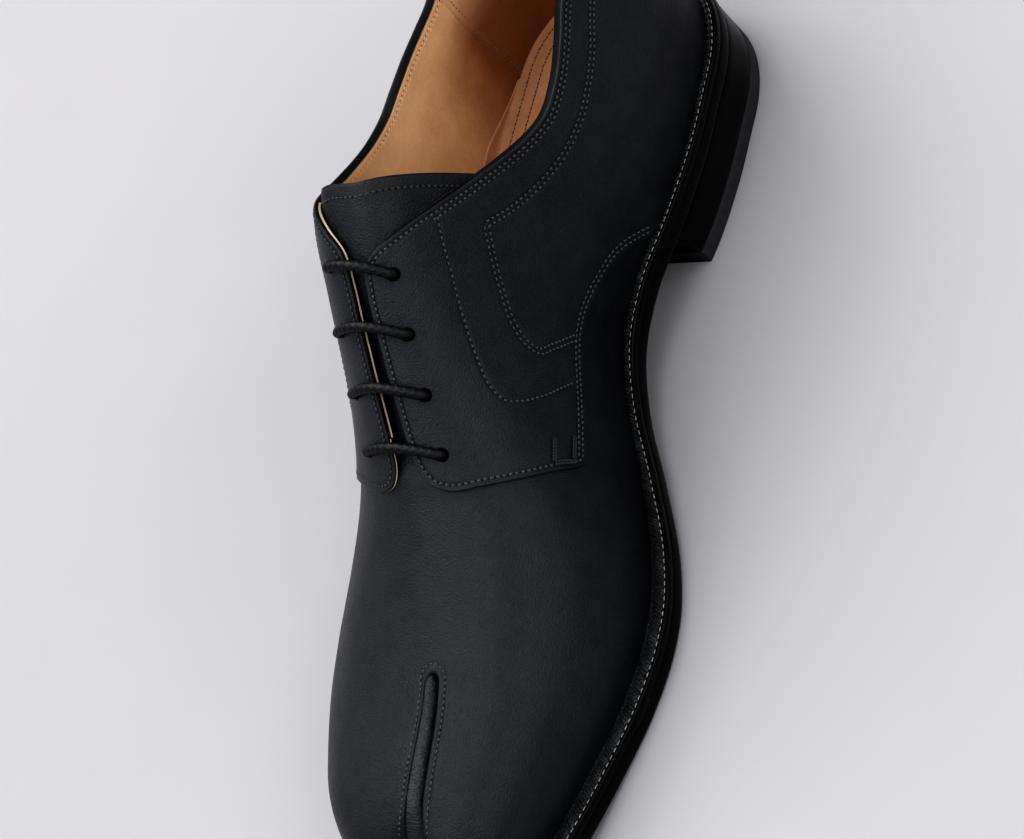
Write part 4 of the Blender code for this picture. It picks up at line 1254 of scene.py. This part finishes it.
def sock_z(x, s):
    """Top of the sock: a shallow dish that turns up towards the lining."""
    half = np.where(s < AXIS, heel_rho(np.pi / 2, float(margin(0.0)) + WALL), 0.5 * (edge_x(1, np.maximum(s, AXIS), margin(s) + WALL) - edge_x(-1, np.maximum(s, AXIS), margin(s) + WALL)))
    mid = np.where(s < AXIS, 0.0, 0.5 * (edge_x(1, np.maximum(s, AXIS), margin(s) + WALL) + edge_x(-1, np.maximum(s, AXIS), margin(s) + WALL)))
    return feather_z(s) + INSOLE_T + 0.7 + 1.6 * np.minimum(1.0, np.abs(x - mid) / half)**4


def make_sock():
    """Leather sock laid on the insole, from the heel to the ball, with two sewn rows."""
    parts = Parts()
    inset0 = float(margin(0.0)) + WALL + 0.75
    fan = np.linspace(0.0, 39.0, 40)
    rows = []
    across = np.linspace(-1, 1, 61)
    for c in fan:
        phi = math.pi / 2 * c / AXIS
        rho = float(heel_rho(phi, inset0))
        x = rho * math.sin(phi)
        rows.append((-x, x, AXIS - rho * math.cos(phi)))
    for s in np.linspace(40.0, 214.0, 120):
        a, b = sole_row(s, margin(s) + WALL + 0.75)
        rows.append((float(a), float(b), s))
    rows = np.array(rows)
    X = rows[:, :1] + (rows[:, 1:2] - rows[:, :1]) * (across[None, :] + 1) / 2
    S = np.repeat(rows[:, 2:3], len(across), 1)
    flat = np.stack([X, S, sock_z(X, S)], -1)
    # at both sides the sock turns up against the lining, most of all under the ankle
    qs = np.linspace(0.0, 0.25, 60)
    climb = np.linspace(0.0, 1.0, 9)[1:]
    sides = []
    for side, column in ((-1, 0), (1, -1)):
        rim = np.empty((len(rows), len(climb) + 1, 3))
        for i, s in enumerate(rows[:, 2]):
            foot = flat[i, column]
            up = 0.25
            if i >= len(fan):
                up += 4.6 * np.clip((s - 40.0) / 24.0, 0, 1) ** 1.5 * np.clip((170.0 - s) / 40.0, 0, 1)
                wall = on(side, np.full_like(qs, s), qs, -2.5)
                z = np.maximum.accumulate(wall[:, 2])
                levels = foot[2] + climb * up
                for a in (0, 1):
                    rim[i, :-1, a] = np.interp(levels, z, wall[:, a])
                rim[i, :-1, 2] = levels
                last = on(side, np.array(s), np.interp(levels[-1], z, qs), -2.06)
                rim[i, -1] = last + np.array([0.0, 0.0, 0.06])
            else:
                rim[i, :-1] = foot + climb[:, None] * np.array([0.0, 0.0, up])
                out = foot - np.array([0.0, AXIS, foot[2]])
                rim[i, -1] = rim[i, -2] + 0.45 * out / max(1e-6, np.linalg.norm(out)) - np.array([0.0, 0.0, 0.2])
        sides.append(rim)
    P = np.concatenate([sides[0][:, ::-1], flat, sides[1]], 1)
    soft = P.copy()
    for _ in range(4):
        soft[:, 1:-1] = 0.25 * soft[:, :-2] + 0.5 * soft[:, 1:-1] + 0.25 * soft[:, 2:]
    keep = len(climb) - 2
    P[:, keep:-keep] = soft[:, keep:-keep]
    ids = parts.grid(P, 0)
    obj = parts.make("sock", [M['sock']], slot="insole")
    runs = []
    for inset in (3.1, 6.9):
        phi = np.linspace(0.0, np.pi / 2, 120)[:-1]
        rho = heel_rho(phi, float(margin(0.0)) + WALL + inset)
        ss = np.linspace(AXIS, 176.0, 300)
        for side in (1, -1):
            x = np.concatenate([side * rho * np.sin(phi), edge_x(side, ss, margin(ss) + WALL + inset)])
            s_ = np.concatenate([AXIS - rho * np.cos(phi), ss])
            runs.append((np.stack([x, s_, sock_z(x, s_)], 1), np.repeat(np.array([[0.0, 0.0, 1.0]]), len(x), 0)))
    stitches("sock_stitches", runs, 2.8, M['thread_sock'], radius=0.27, fill=0.58, lift=0.20, slot="insole", hole=0.34)
    return obj


make_lining()
make_fore_lining()
make_counter()
make_sock()


# ------------------------------------------------------------------ tongue
def tongue_top(side, u):
    """Station of the tongue's top edge; u from its side edge to the ridge."""
    if side > 0:
        return TONGUE_TOP + TONGUE_DIP - 15.0 * (1 - u)**1.5
    return TONGUE_LAT + (TONGUE_TOP + TONGUE_DIP - TONGUE_LAT) * u * (2 - u) + 1.7 * np.exp(-((u - 0.55) / 0.16)**2) + 0.9 * smooth((0.45 - u) / 0.25)


def make_tongue():
    parts = Parts()
    n, across = 90, 44
    t = np.linspace(0.0, 1.0, n + 1)
    u = np.linspace(0.0, 1.0, across + 1)
    sheets = []
    depth0 = WALL + TONGUE_GAP
    for layer in range(2):
        cols = []
        for side in (1, -1):
            uu = u if side > 0 else u[-2::-1]
            T, Uu = np.meshgrid(t, uu, indexing='ij')
            top = tongue_top(side, Uu)
            c = top + (TONGUE_END - top) * T
            q0 = TONGUE_Q[0] + (TONGUE_Q[1] - TONGUE_Q[0]) * T
            q = q0 + (1 - q0) * Uu
            # the top edge is skived from below; the middle sinks a little between the facings
            nose = np.clip(1 - (c - top) / 2.6, 0, 1)**2
            sag = 1.6 * smooth((c - 141.0) / 9.0) * smooth((189.0 - c) / 8.0) * smooth((q - 0.84) / 0.09)
            wall = depth0 + sag + (0.18 * nose if layer == 0 else TONGUE_T - nose * (TONGUE_T - 0.8))
            cols.append(shell(side, c, q, wall - flare(side, c, q)))
        sheets.append(np.concatenate(cols, 1))
    a, b = parts.add(sheets[0]), parts.add(sheets[1])
    parts.fill(a, 0)
    parts.fill(b[:, ::-1], 1)
    for e, f in ((a[0], b[0]), (a[-1], b[-1]), (a[:, 0], b[:, 0]), (a[:, -1], b[:, -1])):
        parts.put(quads(np.stack([e, f])), 0)
    obj = parts.make("tongue_leather", [M['calf'], M['lining']], slot="upper", inside=np.array([0.0, 150.0, 10.0]))
    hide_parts("tongue")
    # one row under the top edge
    runs = []
    uu = np.linspace(0.06, 1.0, 200)
    pts, nrm = [], []
    for side in (1, -1):
        g = uu if side > 0 else uu[-2::-1]
        top = tongue_top(side, g) + 3.4
        q0 = TONGUE_Q[0]
        q = q0 + (1 - q0) * g
        pts.append(shell(side, top, q, depth0 - flare(side, top, q)))
        nn, _, _ = shell_frame(side, top, q)
        nrm.append(nn)
    # the tongue's row takes the darker thread copy as painted shade
    stitches("tongue_stitches", [(np.concatenate(pts), np.concatenate(nrm))], STITCH, M['thread_painted_shade'], slot="upper")
    return obj


make_tongue()


# ------------------------------------------------------------------ lace
def lace_path(number):
    """Centre line of one bar: up through the medial hole, over the facings, down through the lateral one."""
    (c0, q0), (c1, q1) = eyelet_cq(1)[number], eyelet_cq(-1)[number]
    lift = LEATHER + LACE_R - 0.2
    n = 24
    t = np.linspace(0.0, 1.0, n)
    over = []
    cm = 0.5 * (c0 + c1)
    qs = q0 + (1 - q0) * np.linspace(0, 1, n)
    over.append(on(1, c0 + (cm - c0) * np.linspace(0, 1, n), qs, lift))
    qs = 1 - (1 - q1) * np.linspace(0, 1, n)
    over.append(on(-1, cm + (c1 - cm) * np.linspace(0, 1, n), qs, lift)[1:])
    over = np.concatenate(over)
    ends = []
    for side, (c, q), towards in ((1, (c0, q0), over[6] - over[0]), (-1, (c1, q1), over[-7] - over[-1])):
        nn, _, _ = shell_frame(side, np.array(c), np.array(q))
        base = shell(side, np.array(c), np.array(q))
        into = unit(towards)
        a = np.linspace(0, np.pi / 2, 8)
        r = LACE_R + 0.25
        # quarter turn from lying on the facing to going down the hole
        turn = [base + nn * (lift - r + r * math.cos(x)) + into * (r - r * math.sin(x)) for x in a]
        turn += [base + nn * (lift - r - d) for d in (0.6, 1.2, 1.9)]
        ends.append(np.array(turn))
    start, stop = ends
    r = LACE_R + 0.25
    body = over[(np.linalg.norm(over - over[0], axis=1) > r + 0.3) & (np.linalg.norm(over - over[-1], axis=1) > r + 0.3)]
    path = np.concatenate([start[::-1], body, stop])
    for _ in range(3):
        path[1:-1] = 0.25 * path[:-2] + 0.5 * path[1:-1] + 0.25 * path[2:]
    return resample(path, 0.28)[0]


def tube(name, path, radius, sides=40):
    """Round braided cord along a path."""
    path = np.asarray(path)
    d = unit(np.gradient(path, axis=0))
    ref = np.array([0.0, 1.0, 0.0])
    rows = []
    run = np.concatenate([[0.0], np.cumsum(np.linalg.norm(np.diff(path, axis=0), axis=1))])
    a = 2 * np.pi * np.arange(sides) / sides
    for p, t, r in zip(path, d, run):
        e1 = unit(ref - t * (ref @ t))
        e2 = np.cross(t, e1)
        k = 2 * np.pi * r / 2.4
        braid = np.maximum(np.cos(4 * a + k), np.cos(4 * a - k))
        rad = radius * (0.965 + 0.060 * braid)
        rows.append(p + rad[:, None] * (np.cos(a)[:, None] * e1 + np.sin(a)[:, None] * e2))
    g = np.array(rows)
    parts = Parts()
    ids = parts.add(g)
    parts.fill(np.concatenate([ids, ids[:, :1]], 1), 0)
    for row, centre in ((ids[0], path[0]), (ids[-1], path[-1])):
        m = parts.add(centre[None])
        loop = np.append(row, row[:1])
        parts.put(np.stack([loop[:-1], loop[1:], np.repeat(m, sides)], 1), 0)
    obj = parts.make(name, [M['lace']], slot="lace", closed=True)
    return obj


for number in range(4):
    lace = tube(f"lace_{number + 1}", lace_path(number), LACE_R - 0.12)
    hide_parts(f"lace_bar_{number + 1}")


# ------------------------------------------------------------------ sole, welt, heel
def outline(inset, cleft_inset, fine=1):
    """Closed outline in plan, medial side first: heel back, side, lobe, cleft, lobe, side."""
    val = inset if callable(inset) else (lambda s: inset + 0 * np.asarray(s, float))
    phi = np.linspace(0.0, np.pi / 2, 41 * fine)[:-1]
    rho = heel_rho(phi, val(0.0))
    runs = {}
    notch_s = CLEFT_S + RIM_R - cleft_inset
    for side in (1, -1):
        lobe = LOBES[name_of(side)]
        tip = float(lobe['tip_s'] - val(lobe['tip_s']))
        heel = np.stack([side * rho * np.sin(phi), AXIS - rho * np.cos(phi)], 1)
        s = np.linspace(AXIS, notch_s, 150 * fine)
        body = np.stack([edge_x(side, s, val(s)), s], 1)
        s = notch_s + (tip - notch_s) * np.sin(np.linspace(0, np.pi / 2, 70 * fine))[1:]
        outer = np.stack([edge_x(side, s, val(s)), s], 1)
        w = float(cleft_half(notch_s)) + cleft_inset
        a = np.linspace(0, np.pi / 2, 16 * fine)
        si = np.concatenate([notch_s + w * (1 - np.cos(a)), (notch_s + w) + (tip - notch_s - w) * np.sin(np.linspace(0, np.pi / 2, 56 * fine))[1:-1]])
        inner = np.stack([cleft_x(side, si, cleft_inset, val(si)), si], 1)
        runs[side] = (heel, body, outer, inner)
    hm, bm_, om, im = runs[1]
    hl, bl, ol, il = runs[-1]
    return np.concatenate([hm, bm_, om, im[::-1], il[1:], ol[::-1], bl[::-1], hl[:0:-1]])


def ring_sweep(parts, rings, material=0):
    """Skin through closed loops of equal length."""
    ids = [parts.add(r) for r in rings]
    for a, b in zip(ids[:-1], ids[1:]):
        parts.put(quads(np.stack([np.append(a, a[:1]), np.append(b, b[:1])])), material)
    return ids


def level(loop, z):
    return np.concatenate([loop, np.broadcast_to(np.asarray(z, float), (len(loop),))[:, None]], 1)


def cap(parts, loop_ids, points, material):
    """Fills a closed outline with triangles."""
    mesh = bmesh.new()
    vs = [mesh.verts.new(p) for p in points]
    face = mesh.faces.new(vs)
    bmesh.ops.triangulate(mesh, faces=[face])
    mesh.verts.index_update()
    tri = np.array([[v.index for v in f.verts] for f in mesh.faces])
    mesh.free()
    parts.put(loop_ids[tri], material)


def make_outsole():
    parts = Parts()
    b = lambda loop: bottom(loop[:, 1])
    prof = ((3.0, 0.0), (1.1, 0.0), (0.55, 0.18), (0.18, 0.6), (0.02, 1.3), (0.0, 2.4), (0.03, 3.6), (0.16, 4.5), (0.5, 4.95))
    rings = []
    for inset, z in prof:
        loop = outline(inset, -CLEFT_SOLE + 0.6 * inset)
        rings.append(level(loop, b(loop) + z))
    ids = ring_sweep(parts, rings[1:], 0)
    low = parts.add(rings[0])
    parts.put(quads(np.stack([np.append(ids[0], ids[0][:1]), np.append(low, low[:1])])), 1)
    cap(parts, low, rings[0], 1)
    cap(parts, ids[-1], rings[-1], 0)
    obj = parts.make("outsole_leather", [M['sole_edge'], M['bottom']], slot="outsole", sharp=50.0, closed=True)
    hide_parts("outsole")
    return obj


def make_welt():
    parts = Parts()
    base = lambda loop: bottom(loop[:, 1]) + SOLE_T
    fine = 6
    ref = outline(1.7, -CLEFT_SOLE + 1.0, fine)
    step = np.linalg.norm(np.diff(np.concatenate([ref, ref[:1]]), axis=0), axis=1)
    arc = np.concatenate([[0.0], np.cumsum(step)[:-1]])
    heelward = smooth((42.0 - ref[:, 1]) / 22.0)
    tooth = WELT_STITCH / 2
    uneven = np.modf(np.abs(np.sin(np.floor(arc / tooth + 0.5) * 12.9898)) * 437.585)[0]
    wheel = 0.5 - 0.5 * np.cos(2 * np.pi * arc / tooth)
    pleat = 0.5 - 0.5 * np.cos(2 * np.pi * arc / WELT_STITCH)
    mark = 0.75 * (0.35 + uneven) * wheel * (1 - heelward) + 1.15 * pleat * heelward
    prof = ((0.5, 0.02, 0.0), (0.14, 0.25, 0.0), (0.0, 0.8, 0.0), (0.0, 1.9, 0.0), (0.10, 2.6, 0.0), (0.38, 3.08, 0.0), (0.75, 3.18, 0.0),
            (1.2, 3.02, 0.0), (1.45, 3.0, 0.1), (1.75, 3.14, 0.5), (2.15, 3.34, 1.0), (2.8, 3.44, 1.0), (3.3, 3.48, 1.0), (3.8, 3.46, 1.0),
            (4.3, 3.40, 1.0), (4.8, 3.26, 0.9), (5.3, 3.05, 0.5), (6.0, 2.85, 0.0), (8.5, 2.8, 0.0))
    rings = []
    for inset, z, share in prof:
        loop = outline(inset, -CLEFT_SOLE + 0.6 * inset, fine)
        rings.append(level(loop, base(loop) + z - share * mark))
    ring_sweep(parts, rings[:8], 1)
    ring_sweep(parts, rings[7:], 0)
    obj = parts.make("welt_leather", [M['welt'], M['sole_edge']], slot="welt", weld=0.001)
    if sum(p.normal.z * p.area for p in obj.data.polygons) < 0:
        obj.data.flip_normals()
    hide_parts("welt")
    loop = outline(1.32, -CLEFT_SOLE + 0.8, 3)
    pts = level(loop, bottom(loop[:, 1]) + SOLE_T + 3.02)
    pts = np.concatenate([pts, pts[:1]])
    nrm = np.repeat(np.array([[0.0, 0.0, 1.0]]), len(pts), 0)
    stitches("welt_stitches", [(pts, nrm)], WELT_STITCH, M['thread_welt'], radius=0.21, fill=0.80, lift=0.12, sink=0.30, slot="welt")
    return obj


def heel_loop(inset, breast=2.5):
    phi = np.linspace(0.0, np.pi / 2, 60)[:-1]
    rho = heel_rho(phi, inset)
    side_runs = {}
    for side in (1, -1):
        heel = np.stack([side * rho * np.sin(phi), AXIS - rho * np.cos(phi)], 1)
        s = np.linspace(AXIS, HEEL_LEN, 40)
        side_runs[side] = np.concatenate([heel, np.stack([edge_x(side, s, inset), s], 1)])
    a, b = side_runs[1][-1], side_runs[-1][-1]
    u = np.linspace(0, 1, 30)[1:-1]
    front = np.stack([a[0] + (b[0] - a[0]) * u, HEEL_LEN - breast * 4 * u * (1 - u)], 1)
    return np.concatenate([side_runs[1], front, side_runs[-1][:0:-1]])


def make_heel(name, node, prof, mats, slot):
    """Heel layers: rings of (inset, height as a function of the loop)."""
    parts = Parts()
    rings = [level(heel_loop(i), z(heel_loop(i))) for i, z in prof]
    ids = ring_sweep(parts, rings, 0)
    cap(parts, ids[0], rings[0], 0)
    cap(parts, ids[-1], rings[-1], 0)
    obj = parts.make(name, mats, slot=slot, sharp=40.0, closed=True)
    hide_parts(node)
    return obj


flat = lambda z: (lambda loop: np.full(len(loop), z))
seat = lambda t, off: (lambda loop: (LIFT_T + GAP) + (bottom(loop[:, 1]) - off - LIFT_T - GAP) * t)

make_outsole()
make_welt()
make_heel("heel_lift_rubber", "top_lift",
          ((2.3, flat(0.0)), (1.75, flat(0.12)), (1.55, flat(0.5)), (1.42, flat(3.0)), (1.3, flat(5.5)), (1.5, flat(5.9)), (2.0, flat(6.0))),
          [M['lift']], "top_lift")
make_heel("heel_stack_leather", "heel_stack",
          ((1.9, seat(0.0, GAP)), (1.35, seat(0.03, GAP)), (1.2, seat(0.10, GAP)), (1.12, seat(0.30, GAP)), (0.95, seat(0.5, GAP)), (0.78, seat(0.75, GAP)),
           (0.6, seat(0.93, GAP)), (0.75, seat(0.985, GAP)), (1.2, seat(1.0, GAP))),
          [M['heel']], "heel")

nodes["insole"].data.materials.clear()
nodes["insole"].data.materials.append(M['sock'])

# ------------------------------------------------------------------ floor
floor = bpy.data.meshes.new("floor")
R = 6.0
ring_n = 48
pts = [(0.0, 0.0, 0.0)] + [(R * math.cos(2 * math.pi * k / ring_n), R * math.sin(2 * math.pi * k / ring_n), 0.0) for k in range(ring_n)]
floor.from_pydata(pts, [], [(0, k + 1, (k + 1) % ring_n + 1) for k in range(ring_n)])
floor.materials.append(M['floor'])
floor_obj = bpy.data.objects.new("floor", floor)
bpy.context.scene.collection.objects.link(floor_obj)

bpy.context.view_layer.update()
